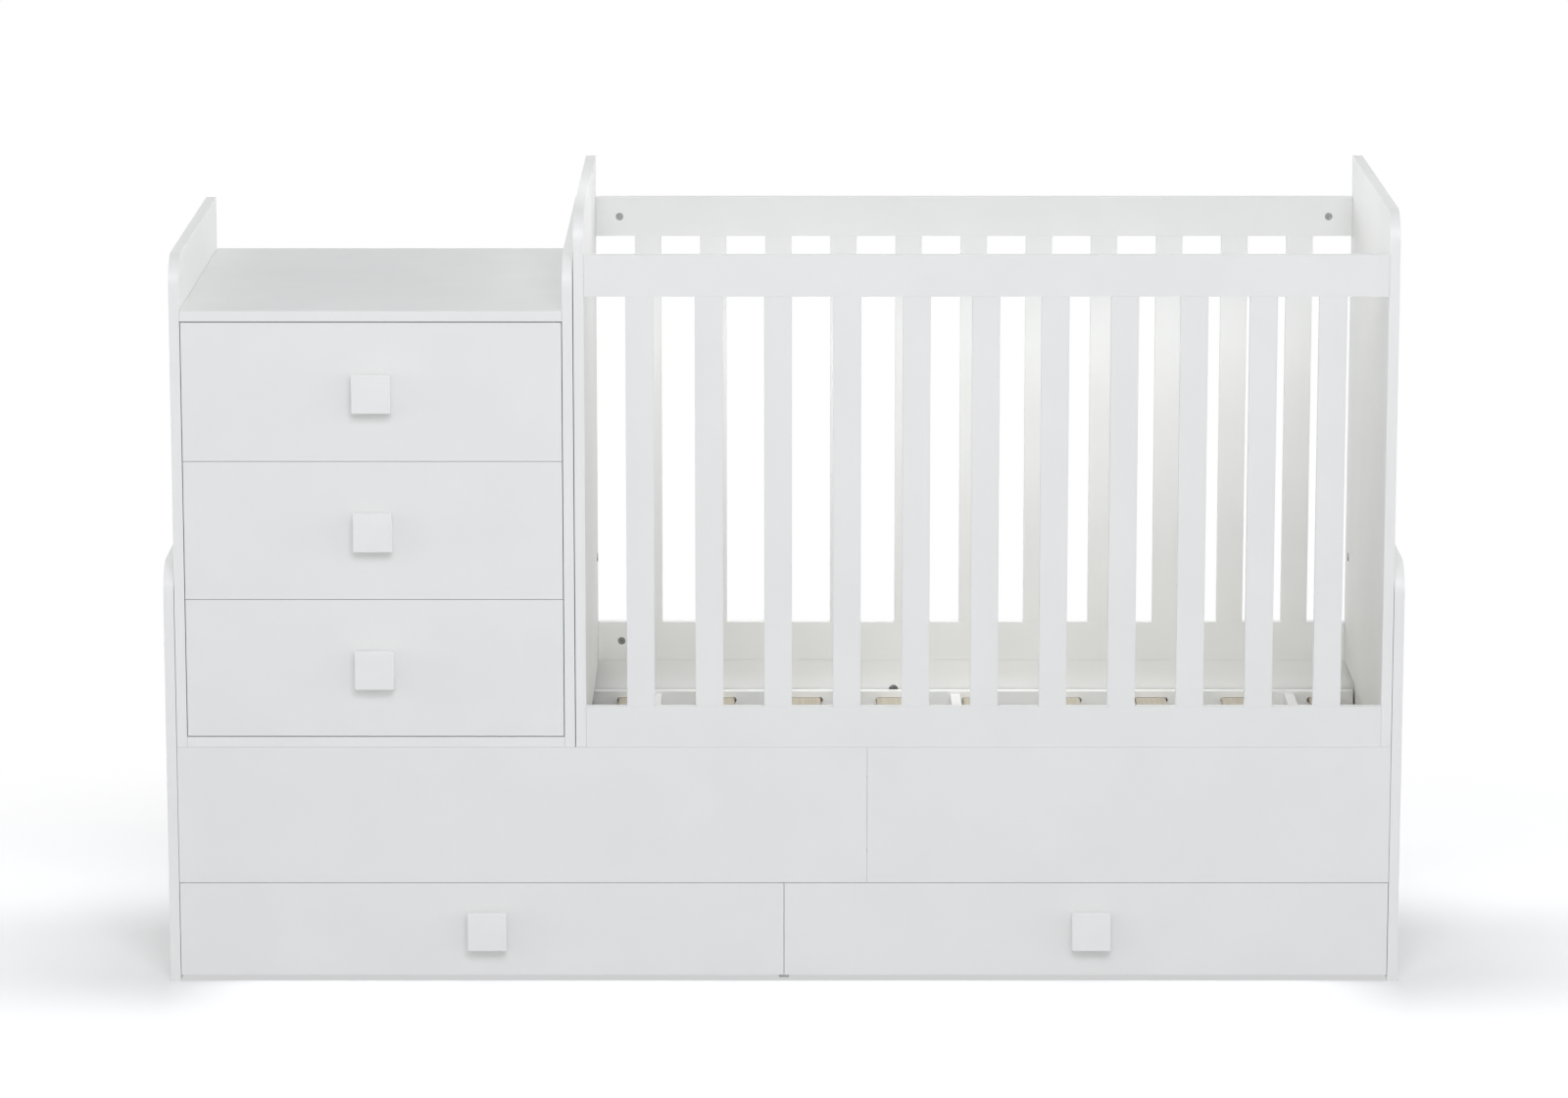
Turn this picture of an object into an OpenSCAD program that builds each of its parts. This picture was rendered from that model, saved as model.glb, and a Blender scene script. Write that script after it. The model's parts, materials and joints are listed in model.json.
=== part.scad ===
// Crib with an attached changing chest, both standing on a low bed base.
// The base has a slatted floor in two frames and two drawers that roll on the floor.
// Sizes are millimetres. X runs along the length, -Y is the front and Z is up.
// The origin is on the floor, in the middle of the outline seen from above.

/* [Boards] */
// Thickness of the coated chipboard
board_t = 16; // [15:1:19]
// Thickness of the hardboard in the chest back and the drawer bottoms
hardboard_t = 3; // [2.5:0.5:4]
// Radius of the rounded front corner of every end panel
corner_r = 50; // [20:1:60]
// Depth of the saw grooves and rebates that take the hardboard
groove_d = 7; // [5:1:8]
// Play of the hardboard in its grooves
groove_play = 0.2; // [0.1:0.1:0.4]

/* [Mattress] */
// Length of the cot mattress
mattress_l = 1200; // [1100:10:1300]
// Width of the cot mattress
mattress_w = 600; // [580:10:660]
// Play along the mattress
play_l = 12; // [6:1:20]
// Play across the mattress
play_w = 8; // [4:1:12]

/* [Crib] */
// Height of the crib end panels above the bed base
crib_h = 823; // [760:1:860]
// Height of the upper and lower rails of the two barred sides
rail_h = 63; // [55:1:75]
// How far the upper rails lie below the top of the end panels
rail_drop = 65; // [55:1:80]
// Width of one upright slat
bar_w = 42; // [36:1:46]
// Number of upright slats in each barred side
bar_n = 11; // [10:1:12]

/* [Changing chest] */
// Clear width between the sides of the chest
chest_in = 576; // [520:1:620]
// Height of the chest sides above the bed base
chest_h = 756; // [720:1:790]
// How far the chest sides stand above the changing surface
guard_h = 83; // [60:1:100]
// Gap round the drawer fronts
front_gap = 2.2; // [2:0.1:3]
// Height of the chest drawer boxes
box_h = 150; // [110:1:155]
// Length of the drawer runners and of the drawer boxes
runner_l = 500; // [450:10:540]
// How far a chest drawer slides out
chest_travel = 380; // [300:10:390]

/* [Bed base] */
// Height of the base end panels
base_h = 652; // [600:1:700]
// Height of the front boards above the drawers
band_h = 213; // [200:1:240]
// How far the joint of the front boards lies to the right of the middle
split_x = 127; // [60:1:200]
// Gap between the drawer fronts and the floor
floor_gap = 10; // [8:1:14]
// Height of the base drawer fronts
low_front_h = 143; // [135:1:160]
// Gap round the base drawer fronts
low_gap = 2; // [1.5:0.5:3]
// Gap between the chest and the crib
unit_gap = 1; // [0.5:0.5:2]
// Gap between each unit and the base end panel beside it
end_gap = 0.5; // [0.5:0.5:2]
// Height of the back boards above the floor
back_gap = 30; // [20:1:60]

/* [Slatted floor] */
// Height of the frame rails
frame_h = 60; // [50:1:70]
// How far the frames lie below the top of the base boards
frame_drop = 48; // [40:1:60]
// Length of the frame under the crib
long_l = 1234; // [1220:1:1250]
// Gap between the frames, and between a frame and the base end panels
frame_gap = 3; // [2:1:5]
// Gap between a frame and the front and back boards
frame_side_gap = 4; // [2:1:6]
// Width of one plywood slat
slat_w = 53; // [50:1:60]
// Thickness of one plywood slat
slat_t = 8; // [7:0.5:10]
// Distance from one plywood slat to the next
slat_pitch = 140; // [136:1:142]
// Depth of the routed slots that hold the plywood slats
slot_d = 11; // [8:1:13]
// Distance from the rail's top to the top of the slots
slot_drop = 10; // [8:1:16]
// Side of the square battens that carry the frames
ledge = 20; // [16:1:24]

/* [Knobs] */
// Side of the square knob face
knob_w = 59; // [50:1:66]
// Side of the knob where it meets the drawer front
knob_neck = 38; // [30:1:44]
// How far the knob stands out
knob_out = 22; // [18:1:28]
// Thickness of the knob's straight rim
knob_rim = 9; // [6:1:12]
// How far the base drawer knobs sit to the right of the middle
knob_shift = 8; // [0:1:20]

/* [Runners and castors] */
// Space for a runner between the chest side and the drawer box
runner_w = 12.5; // [12:0.5:14]
// Thickness of the runner steel
steel_t = 1.2; // [1:0.1:1.5]
// Diameter of the runner rollers
roller_d = 18; // [16:1:20]
// Width of the runner rollers
roller_w = 6; // [5:0.5:6]
// Diameter of the castor wheels
wheel_d = 32; // [28:1:34]
// Width of the castor wheels
wheel_w = 12; // [10:1:14]
// Height of the castors
castor_h = 40; // [38:1:44]
// Height of the base drawer boxes
low_box_h = 100; // [85:1:105]

/* [Hidden] */

$fn = 48;
cut = 1;                // how far a cutting shape runs past the face it opens
seam = 0.05;            // glue line between two pieces of one frame or drawer box

// Depth, and the Y of the front face that every depth below is counted from
depth = mattress_w + play_w + 2 * board_t;
front_y = -(depth - knob_out) / 2;

// Heights
low_front_top = floor_gap + low_front_h;
band_z = low_front_top + low_gap;
deck_z = band_z + band_h;
frame_top = deck_z - frame_drop;
frame_z = frame_top - frame_h;
crib_top = deck_z + crib_h;
upper_rail_z = crib_top - rail_drop - rail_h;
changer_z = deck_z + chest_h - guard_h;

// Lengths
crib_in = mattress_l + play_l;
crib_w = crib_in + 2 * board_t;
chest_w = chest_in + 2 * board_t;
base_in = chest_w + unit_gap + crib_w + 2 * end_gap;
chest_x0 = -base_in / 2 + end_gap;
chest_x1 = chest_x0 + chest_w;
chest_mid = (chest_x0 + chest_x1) / 2;
crib_x0 = chest_x1 + unit_gap;
crib_x1 = crib_x0 + crib_w;

// Barred sides
bar_gap = (crib_in - bar_n * bar_w) / (bar_n + 1);
bar_x = [for (k = [0 : bar_n - 1]) crib_x0 + board_t + bar_gap + k * (bar_w + bar_gap)];
dowel_r = 4;
dowel_play = 0.1;
dowel_reach = 15;       // how far a dowel goes into each of the pieces it joins
dowel_z = [deck_z + rail_h, upper_rail_z];
rail_mid = [for (z = [deck_z, upper_rail_z]) z + rail_h / 2];
grid_d = [0, depth - board_t];

// Bolts and barrel nuts that hold the rails to the crib ends
bolt_r = 3;
bolt_play = 0.5;
bolt_reach = 38;        // from the end of a rail to the middle of its barrel nut
bolt_head_r = 6;
bolt_head_t = 4;
bolt_head_play = 0.3;
bolt_sink = 0.2;        // how far the bolt heads lie below the face
socket_r = 2.9;
socket_d = 2.5;
nut_r = 6;
nut_l = 13;
nut_play = 0.1;
nut_overrun = 6;        // how far the bolt runs past the barrel nut

// Cam fittings
cam_r = 7.5;
cam_d = 12.5;
cam_play = 0.1;
cam_reach = 51;         // from the end of a base board to the middle of its cam
cam_edge = 49;          // from the edge of a base board to the middle of its cam
chest_cam_reach = 34;
chest_cam_edge = 70;
pin_r = 3;
pin_play = 0.5;
pin_sink = 11;          // how far a cam's pin goes into the next panel
pin_start = 1;          // from the middle of a cam to the end of its pin

// Cams of one long base board run: [middle of the cam, way to the joint]
cam_row = [
    [-base_in / 2 + cam_reach, -1],
    [split_x + cam_reach, -1],
    [base_in / 2 - cam_reach, 1]
];
front_cam_z = [deck_z - cam_edge, band_z + cam_edge];
back_cam_z = [deck_z - cam_edge, back_gap + cam_edge];
chest_cam_d = [chest_cam_edge, depth - chest_cam_edge];

// Connectors that join the crib and the chest to each other and to the base
connector_r = 4;
connector_head_r = 6.8;
connector_head_t = 1.6;
connector_play = 0.2;
connector_inset = 55;   // from the back edge of a panel
connector_drop = 106;   // from the top of the base end panels
connector_d = depth - connector_inset;
connector_z = base_h - connector_drop;
sleeve_wall = 1.5;
sleeve_floor = 2;       // thickness of the sleeve under its head
thread_play = 0.1;
screw_gap = 2;          // from the screw's tip to the sleeve's floor
connector_xs = [
    [-base_in / 2 - board_t, chest_x0 + board_t],
    [chest_x1 - board_t, crib_x0 + board_t],
    [crib_x1 - board_t, base_in / 2 + board_t]
];

// Slatted floor
short_l = base_in - 3 * frame_gap - long_l;
long_x0 = base_in / 2 - frame_gap - long_l;
short_x0 = -base_in / 2 + frame_gap;
slot_play = 0.5;        // play all round a slat in its slot
slot_h = slat_t + 2 * slot_play;
slat_edge = 20;         // least gap between the end of a rail and its first slat
slat_shift = 9;         // the long frame's slats sit right of its middle
function slat_n(l) = floor((l - 2 * slat_edge - slat_w) / slat_pitch) + 1;
function slat_row(x0, l, shift) = [
    for (k = [0 : slat_n(l) - 1]) x0 + l / 2 + shift + (k - (slat_n(l) - 1) / 2) * slat_pitch
];
long_slat_x = slat_row(long_x0, long_l, slat_shift);
short_slat_x = slat_row(short_x0, short_l, 0);
cross_low = 4;          // how far the cross bars lie below the top of the rails
cross_h = 40;
cross_gap = 3.5;        // gap between a cross bar and the slat beside it
cross_step = slat_w / 2 + cross_gap + board_t / 2;
long_cross_x = [
    long_slat_x[0] + cross_step,
    long_slat_x[floor(len(long_slat_x) / 2)] - cross_step,
    2 * long_x0 + long_l - long_slat_x[0] - cross_step
];
function between(row, k) = (row[k] + row[k + 1]) / 2;
short_cross_x = [between(short_slat_x, 0), between(short_slat_x, len(short_slat_x) - 2)];

// Chest drawers
bay_z = deck_z + board_t;
bay_top = changer_z - board_t;
front_h = (bay_top - bay_z - 4 * front_gap) / 3;
function front_z(k) = bay_z + front_gap + k * (front_h + front_gap);
front_w = chest_in - 2 * front_gap;
box_rise = 30;          // from the bottom of a drawer front to the bottom of its box
function box_z(k) = front_z(k) + box_rise;
box_w = chest_in - 2 * runner_w;
bottom_rise = 10;       // from the bottom of a drawer box to its hardboard

// Runner section, seen from the front: across from the chest side, up from the box's bottom
roll_gap = 0.3;         // a roller's running gap to the steel it rolls on
track_z = -2;           // top of the cabinet runner's lower flange
roller_z = track_z + roll_gap + roller_d / 2;
flange_z = roller_z + roller_d / 2 + roll_gap;
section_gap = 1;        // between the steel of the cabinet runner and of the drawer runner
lip_z = flange_z + steel_t + section_gap;
track_w = runner_w - steel_t - section_gap;
lip_w = 8;
flange_x = steel_t + section_gap;
web_x = runner_w - steel_t;
foot_w = 12;            // the drawer runner's flange under the drawer side
axle_r = 2;
axle_play = 0.05;
rivet_r = 3.5;
rivet_t = 1;
roller_seat = 0.4;      // gap on each side of a roller, to its runner and to its rivet's head
rivet_l = steel_t + roller_w + 2 * roller_seat + rivet_t;
roller_inset = 13;      // from the end of a runner to the middle of its roller
runner_back = 2;        // how far the cabinet runners start behind the drawer fronts
cabinet_runner_d = board_t + runner_back;
cabinet_roller_d = cabinet_runner_d + roller_inset;
drawer_roller_d = board_t + runner_l - roller_inset;
stop_gap = 0.5;
stop_d = drawer_roller_d - chest_travel - roller_d / 2 - stop_gap;
stop_h = 5;
stop_x = 4;             // from the chest side to the stop

// Base drawers
low_front_w = (base_in - 3 * low_gap) / 2;
low_box_inset = 20;     // from the end of a drawer front to the side of its box
low_box_back_gap = 6;
low_box_d1 = depth - board_t - low_box_back_gap;
low_box_w = low_front_w - 2 * low_box_inset;
function low_front_x(s) = s < 0 ? -base_in / 2 + low_gap : low_gap / 2;
castor_inset_x = 45;
castor_inset_d = 50;
castor_sheet = 1.5;
castor_plate = 40;
castor_cheek_r = 7;
wheel_side_gap = 0.5;
partition_back_off = 2; // the partition's lower front edge stands this far behind the fronts
castor_rim = 4;         // rim of a castor's plate that its cheeks leave free
castor_ds = [board_t + castor_inset_d, low_box_d1 - castor_inset_d];
function low_mid(s) = low_front_x(s) + low_front_w / 2;
function castor_xs(s) = [
    for (way = [-1, 1]) low_mid(s) + way * (low_box_w / 2 - castor_inset_x)
];

// Knobs and their screws
low_knob_z = floor_gap + low_front_h / 2;
knob_soft = 3;          // rounding of the knob's front edges
knob_corner_r = 5;
knob_screw_l = 14;      // depth of the screw's hole in the knob
knob_screw_tip = 1;     // from the screw's tip to the end of its hole
knob_screw_r = 2;
knob_screw_play = 0.1;
knob_screw_head = 2;

// Colours
white = [0.92, 0.93, 0.94];
inner_white = [0.88, 0.88, 0.87];
birch = [0.80, 0.68, 0.50];
steel = [0.62, 0.63, 0.65];
nylon = [0.95, 0.95, 0.93];
grey = [0.45, 0.46, 0.48];

// ---- shapes that repeat ----

// A block between its lowest and its highest corner
module block(low, high) {
    translate(low) cube(high - low);
}

// Puts a piece whose depths count from the front face into place
module placed() {
    translate([0, front_y, 0]) children();
}

// A round rod along X, from x0 to x1
module rod_x(x0, x1, d, z, r) {
    translate([x0, d, z]) rotate([0, 90, 0]) cylinder(r = r, h = x1 - x0);
}

// A round rod along the depth, from d0 to d1
module rod_d(x, d0, d1, z, r) {
    translate([x, d0, z]) rotate([-90, 0, 0]) cylinder(r = r, h = d1 - d0);
}

// An end panel with its front top corner rounded
module end_panel(x, z, h) {
    translate([x, 0, z]) rotate([90, 0, 90]) linear_extrude(board_t) {
        difference() {
            square([depth, h]);
            translate([-cut, h - corner_r]) square([corner_r + cut, corner_r + cut]);
        }
        intersection() {
            translate([corner_r, h - corner_r]) circle(r = corner_r, $fn = 96);
            translate([0, h - corner_r]) square([corner_r, corner_r]);
        }
    }
}

// ---- cam fittings ----

// The hole for one cam and its pin in a base board; face is the board's inner face
module board_cam_hole(x, way, z, face, into, play = 0) {
    middle = face + into * board_t / 2;
    bottom = face + into * cam_d;
    rod_d(x, min(face, bottom), max(face, bottom), z, cam_r + play);
    rod_x(min(x, x + way * cam_reach), max(x, x + way * cam_reach), middle, z, pin_r + pin_play);
}

// One cam with its pin, seated in the hole above
module board_cam(x, way, z, face, into) {
    middle = face + into * board_t / 2;
    bottom = face + into * (cam_d - cam_play);
    difference() {
        rod_d(x, min(face, bottom), max(face, bottom), z, cam_r - cam_play);
        rod_x(min(x, x + way * 2 * cam_r), max(x, x + way * 2 * cam_r), middle, z, pin_r + pin_play);
    }
    near = x + way * pin_start;
    far = x + way * (cam_reach + pin_sink);
    rod_x(min(near, far), max(near, far), middle, z, pin_r);
}

// The holes for the cams of the chest's top or bottom board, let in from below
module chest_cam_holes(z) {
    for (way = [-1, 1], d = chest_cam_d) {
        edge = chest_mid + way * chest_in / 2;
        x = edge - way * chest_cam_reach;
        translate([x, d, z - cut]) cylinder(r = cam_r, h = cam_d + cut);
        rod_x(min(x, edge + way * cut), max(x, edge + way * cut), d, z + board_t / 2, pin_r + pin_play);
    }
}

module chest_cams(z) {
    for (way = [-1, 1], d = chest_cam_d) {
        edge = chest_mid + way * chest_in / 2;
        x = edge - way * chest_cam_reach;
        far = edge + way * pin_sink;
        difference() {
            translate([x, d, z]) cylinder(r = cam_r - cam_play, h = cam_d - cam_play);
            rod_x(min(x, x + way * 2 * cam_r), max(x, x + way * 2 * cam_r), d, z + board_t / 2,
                  pin_r + pin_play);
        }
        near = x + way * pin_start;
        rod_x(min(near, far), max(near, far), d, z + board_t / 2, pin_r);
    }
}

module cam_locks() color(steel) placed() {
    for (c = cam_row, z = front_cam_z) board_cam(c[0], c[1], z, board_t, -1);
    for (c = cam_row, z = back_cam_z) board_cam(c[0], c[1], z, depth - board_t, 1);
    chest_cams(changer_z - board_t);
    chest_cams(deck_z);
}

// ---- bed base ----

// One base end panel; side is -1 on the left and 1 on the right
module base_end(side) color(white) placed() {
    inner = side * base_in / 2;
    sunk = inner + side * (pin_sink + pin_play);
    difference() {
        end_panel(side < 0 ? inner - board_t : inner, 0, base_h);
        for (z = front_cam_z)
            rod_x(min(inner, sunk), max(inner, sunk), board_t / 2, z, pin_r + cam_play);
        for (z = back_cam_z)
            rod_x(min(inner, sunk), max(inner, sunk), depth - board_t / 2, z, pin_r + cam_play);
        connector_hole();
    }
}

// A front or back board between x0 and x1, with the cams that lie in it
module base_board(x0, x1, z0, d0, face, into, cam_zs) {
    difference() {
        block([x0, d0, z0], [x1, d0 + board_t, deck_z]);
        for (c = cam_row, z = cam_zs)
            if (c[0] > x0 && c[0] < x1) board_cam_hole(c[0], c[1], z, face, into);
        if (x1 < base_in / 2)
            for (z = cam_zs)
                rod_x(x1 - pin_sink - pin_play, x1 + cut, d0 + board_t / 2, z, pin_r + cam_play);
    }
}

module front_board_left() color(white) placed()
    base_board(-base_in / 2, split_x, band_z, 0, board_t, -1, front_cam_z);

module front_board_right() color(white) placed()
    base_board(split_x, base_in / 2, band_z, 0, board_t, -1, front_cam_z);

module back_board_left() color(white) placed()
    base_board(-base_in / 2, split_x, back_gap, depth - board_t, depth - board_t, 1, back_cam_z);

module back_board_right() color(white) placed()
    base_board(split_x, base_in / 2, back_gap, depth - board_t, depth - board_t, 1, back_cam_z);

// Upright board between the two base drawers, notched for the ledges
module partition() color(white) placed() {
    d1 = depth - board_t;
    step_d = board_t + partition_back_off;
    translate([-board_t / 2, 0, 0]) rotate([90, 0, 90]) linear_extrude(board_t) polygon([
        [step_d, 0], [d1, 0],
        [d1, frame_z - ledge], [d1 - ledge, frame_z - ledge], [d1 - ledge, frame_z],
        [board_t + ledge, frame_z], [board_t + ledge, frame_z - ledge], [board_t, frame_z - ledge],
        [board_t, band_z], [step_d, band_z]
    ]);
}

// Battens along the front and back boards; they carry the frames and tie the board joints
module ledges() color(birch) placed() {
    for (d = [board_t, depth - board_t - ledge])
        block([-base_in / 2, d, frame_z - ledge], [base_in / 2, d + ledge, frame_z]);
}

// A routed slot with round ends, cut d0 to d1 deep and centred on x
module slot(x, d0, d1) {
    r = slot_h / 2;
    z = frame_top - slot_drop - r;
    half = slat_w / 2 + slot_play - r;
    for (end = [-half, half]) rod_d(x + end, d0, d1, z, r);
    block([x - half, d0, z - r], [x + half, d1, z + r]);
}

// One slatted frame: a front and a back rail and the cross bars between them
module slat_frame(x0, l, slats, cross) {
    d0 = board_t + frame_side_gap;
    d1 = depth - board_t - frame_side_gap;
    difference() {
        block([x0, d0, frame_z], [x0 + l, d0 + board_t, frame_top]);
        for (x = slats) slot(x, d0 + board_t - slot_d, d0 + board_t + cut);
    }
    difference() {
        block([x0, d1 - board_t, frame_z], [x0 + l, d1, frame_top]);
        for (x = slats) slot(x, d1 - board_t - cut, d1 - board_t + slot_d);
    }
    for (x = cross)
        block([x - board_t / 2, d0 + board_t + seam, frame_top - cross_low - cross_h],
              [x + board_t / 2, d1 - board_t - seam, frame_top - cross_low]);
}

module slat_frame_long() color(white) placed()
    slat_frame(long_x0, long_l, long_slat_x, long_cross_x);

module slat_frame_short() color(white) placed()
    slat_frame(short_x0, short_l, short_slat_x, short_cross_x);

// Plywood slats of both frames, with their long edges rounded
module plywood_slats() color(birch) placed() {
    r = slat_t / 2;
    z = frame_top - slot_drop - slot_h / 2;
    d0 = board_t + frame_side_gap + board_t - slot_d + slot_play;
    d1 = depth - d0;
    half = slat_w / 2 - r;
    for (x = concat(long_slat_x, short_slat_x))
        translate([x, d1, z]) rotate([90, 0, 0]) linear_extrude(d1 - d0) {
            square([2 * half, slat_t], center = true);
            for (end = [-1, 1]) intersection() {
                translate([end * half, 0]) circle(r = r);
                translate([end * (half + r), 0]) square(2 * r, center = true);
            }
        }
}

// ---- crib ----

// One crib end panel; side is -1 on the left and 1 on the right
module crib_end(side) color(white) placed() {
    x0 = side < 0 ? crib_x0 : crib_x1 - board_t;
    outer = side < 0 ? crib_x0 : crib_x1;
    sunk = outer - side * (bolt_sink + bolt_head_t);
    difference() {
        end_panel(x0, deck_z, crib_h);
        for (d = grid_d, z = rail_mid) {
            rod_x(x0 - cut, x0 + board_t + cut, d + board_t / 2, z, bolt_r + bolt_play);
            rod_x(min(outer, sunk), max(outer, sunk), d + board_t / 2, z, bolt_head_r + bolt_head_play);
        }
        connector_hole();
    }
}

// A rail of a barred side; into points from its inner face into the board, and its
// dowels stand at height joint_z
module grid_rail(d0, z0, into, joint_z) {
    x0 = crib_x0 + board_t;
    x1 = crib_x1 - board_t;
    face = into < 0 ? d0 + board_t : d0;
    bottom = face + into * (nut_l + nut_play);
    reach = bolt_reach + nut_r + nut_overrun + bolt_play;
    difference() {
        block([x0, d0, z0], [x1, d0 + board_t, z0 + rail_h]);
        for (x = [x0 + bolt_reach, x1 - bolt_reach])
            rod_d(x, min(face, bottom), max(face, bottom), z0 + rail_h / 2, nut_r + nut_play);
        rod_x(x0 - cut, x0 + reach, d0 + board_t / 2, z0 + rail_h / 2, bolt_r + bolt_play);
        rod_x(x1 - reach, x1 + cut, d0 + board_t / 2, z0 + rail_h / 2, bolt_r + bolt_play);
        for (x = bar_x)
            dowel_hole(x, d0, joint_z);
    }
}

module dowel_hole(x, d0, z) {
    translate([x + bar_w / 2, d0 + board_t / 2, z - dowel_reach - dowel_play])
        cylinder(r = dowel_r + dowel_play, h = 2 * (dowel_reach + dowel_play));
}

module grid_bars(d0) {
    for (x = bar_x) difference() {
        block([x, d0, dowel_z[0]], [x + bar_w, d0 + board_t, dowel_z[1]]);
        for (z = dowel_z) dowel_hole(x, d0, z);
    }
}

module crib_front_top_rail() color(white) placed()
    grid_rail(grid_d[0], upper_rail_z, -1, dowel_z[1]);

module crib_front_bottom_rail() color(white) placed()
    grid_rail(grid_d[0], deck_z, -1, dowel_z[0]);

module crib_front_bars() color(white) placed() grid_bars(grid_d[0]);

module crib_back_top_rail() color(white) placed()
    grid_rail(grid_d[1], upper_rail_z, 1, dowel_z[1]);

module crib_back_bottom_rail() color(white) placed()
    grid_rail(grid_d[1], deck_z, 1, dowel_z[0]);

module crib_back_bars() color(white) placed() grid_bars(grid_d[1]);

// Dowels between the upright bars and the rails
module bar_dowels() color(birch) placed() {
    for (d = grid_d, x = bar_x, z = dowel_z)
        translate([x + bar_w / 2, d + board_t / 2, z - dowel_reach])
            cylinder(r = dowel_r, h = 2 * dowel_reach);
}

// Bolts through the crib ends, and the barrel nuts in the rails that they screw into
module crib_bolts() color(steel) placed() {
    for (side = [-1, 1], k = [0, 1], z = rail_mid) {
        d = grid_d[k] + board_t / 2;
        into = k == 0 ? -1 : 1;
        face = k == 0 ? board_t : depth - board_t;
        bottom = face + into * nut_l;
        outer = side < 0 ? crib_x0 : crib_x1;
        nut_x = outer - side * (board_t + bolt_reach);
        tip = nut_x - side * (nut_r + nut_overrun);
        head0 = outer - side * bolt_sink;
        head1 = head0 - side * bolt_head_t;
        difference() {
            union() {
                rod_x(min(head0, head1), max(head0, head1), d, z, bolt_head_r);
                rod_x(min(head1, tip), max(head1, tip), d, z, bolt_r);
            }
            translate([head0 + side * cut, d, z]) rotate([0, -side * 90, 0])
                cylinder(r = socket_r, h = socket_d + cut, $fn = 6);
        }
        difference() {
            rod_d(nut_x, min(face, bottom), max(face, bottom), z, nut_r);
            rod_x(nut_x - 2 * nut_r, nut_x + 2 * nut_r, d, z, bolt_r + cam_play);
        }
    }
}

// ---- connectors between the units ----

// The holes for all connectors, through every panel that they join
module connector_hole() {
    rod_x(-base_in, base_in, connector_d, connector_z, connector_r + connector_play);
}

// Screw and sleeve pairs: the sleeve comes from the right, the screw from the left
module unit_connectors() color(steel) placed() {
    for (c = connector_xs) {
        end = c[0] + board_t / 2;
        difference() {
            union() {
                rod_x(end, c[1], connector_d, connector_z, connector_r);
                rod_x(c[1], c[1] + connector_head_t, connector_d, connector_z, connector_head_r);
            }
            rod_x(end - cut, c[1] - sleeve_floor, connector_d, connector_z, connector_r - sleeve_wall);
        }
        rod_x(c[0] - connector_head_t, c[0], connector_d, connector_z, connector_head_r);
        rod_x(c[0], c[1] - sleeve_floor - screw_gap, connector_d, connector_z,
              connector_r - sleeve_wall - thread_play);
    }
}

// ---- changing chest ----

// One chest side, rebated at the back for the hardboard; side is -1 left and 1 right
module chest_side(side) color(white) placed() {
    x0 = side < 0 ? chest_x0 : chest_x1 - board_t;
    inner = chest_mid + side * chest_in / 2;
    lip = inner + side * groove_d;
    pin_end = inner + side * (pin_sink + pin_play);
    difference() {
        end_panel(x0, deck_z, chest_h);
        block([min(inner - side, lip), depth - hardboard_t - groove_play, deck_z - cut],
              [max(inner - side, lip), depth + cut, bay_top]);
        for (z = [deck_z, bay_top], d = chest_cam_d)
            rod_x(min(inner, pin_end), max(inner, pin_end), d, z + board_t / 2, pin_r + cam_play);
        connector_hole();
    }
}

module chest_top() color(white) placed() difference() {
    block([chest_mid - chest_in / 2, 0, bay_top], [chest_mid + chest_in / 2, depth, changer_z]);
    chest_cam_holes(bay_top);
}

module chest_bottom() color(white) placed() difference() {
    block([chest_mid - chest_in / 2, 0, deck_z],
          [chest_mid + chest_in / 2, depth - hardboard_t - groove_play, bay_z]);
    chest_cam_holes(deck_z);
}

module chest_back() color(inner_white) placed()
    block([chest_mid - chest_in / 2 - groove_d + groove_play, depth - hardboard_t, deck_z],
          [chest_mid + chest_in / 2 + groove_d - groove_play, depth, bay_top - groove_play]);

// ---- chest drawers ----

// Repeats a piece at the left chest side at the right one; X counts from the chest side
module both_sides() {
    for (s = [0, 1])
        translate([chest_mid, 0, 0]) mirror([s, 0, 0]) translate([-chest_in / 2, 0, 0]) children();
}

// Cabinet runner: a C section with a front roller's rivet and a stop for the drawer's roller
module cabinet_runner(z) {
    translate([0, cabinet_runner_d + runner_l, z]) rotate([90, 0, 0]) linear_extrude(runner_l) polygon([
        [0, track_z - steel_t], [track_w, track_z - steel_t], [track_w, track_z],
        [steel_t, track_z], [steel_t, lip_z], [lip_w, lip_z],
        [lip_w, lip_z + steel_t], [0, lip_z + steel_t]
    ]);
    rod_x(0, rivet_l, cabinet_roller_d, z + roller_z, axle_r);
    rod_x(rivet_l - rivet_t, rivet_l, cabinet_roller_d, z + roller_z, rivet_r);
    block([stop_x, stop_d - steel_t, z + track_z - steel_t],
          [track_w, stop_d, z + track_z + stop_h]);
}

module chest_runners() color(white) placed() both_sides()
    for (k = [0 : 2]) cabinet_runner(box_z(k));

// Drawer runner: a Z section screwed under the drawer side, with the rear roller's rivet
module drawer_runners(k) color(white) placed() both_sides() {
    z = box_z(k);
    translate([0, board_t + runner_l, z]) rotate([90, 0, 0]) linear_extrude(runner_l) polygon([
        [flange_x, flange_z], [web_x, flange_z], [web_x, -steel_t],
        [runner_w + foot_w, -steel_t], [runner_w + foot_w, 0], [runner_w, 0],
        [runner_w, flange_z + steel_t], [flange_x, flange_z + steel_t]
    ]);
    head = runner_w - rivet_l;
    rod_x(head, runner_w, drawer_roller_d, z + roller_z, axle_r);
    rod_x(head, head + rivet_t, drawer_roller_d, z + roller_z, rivet_r);
}

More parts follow.
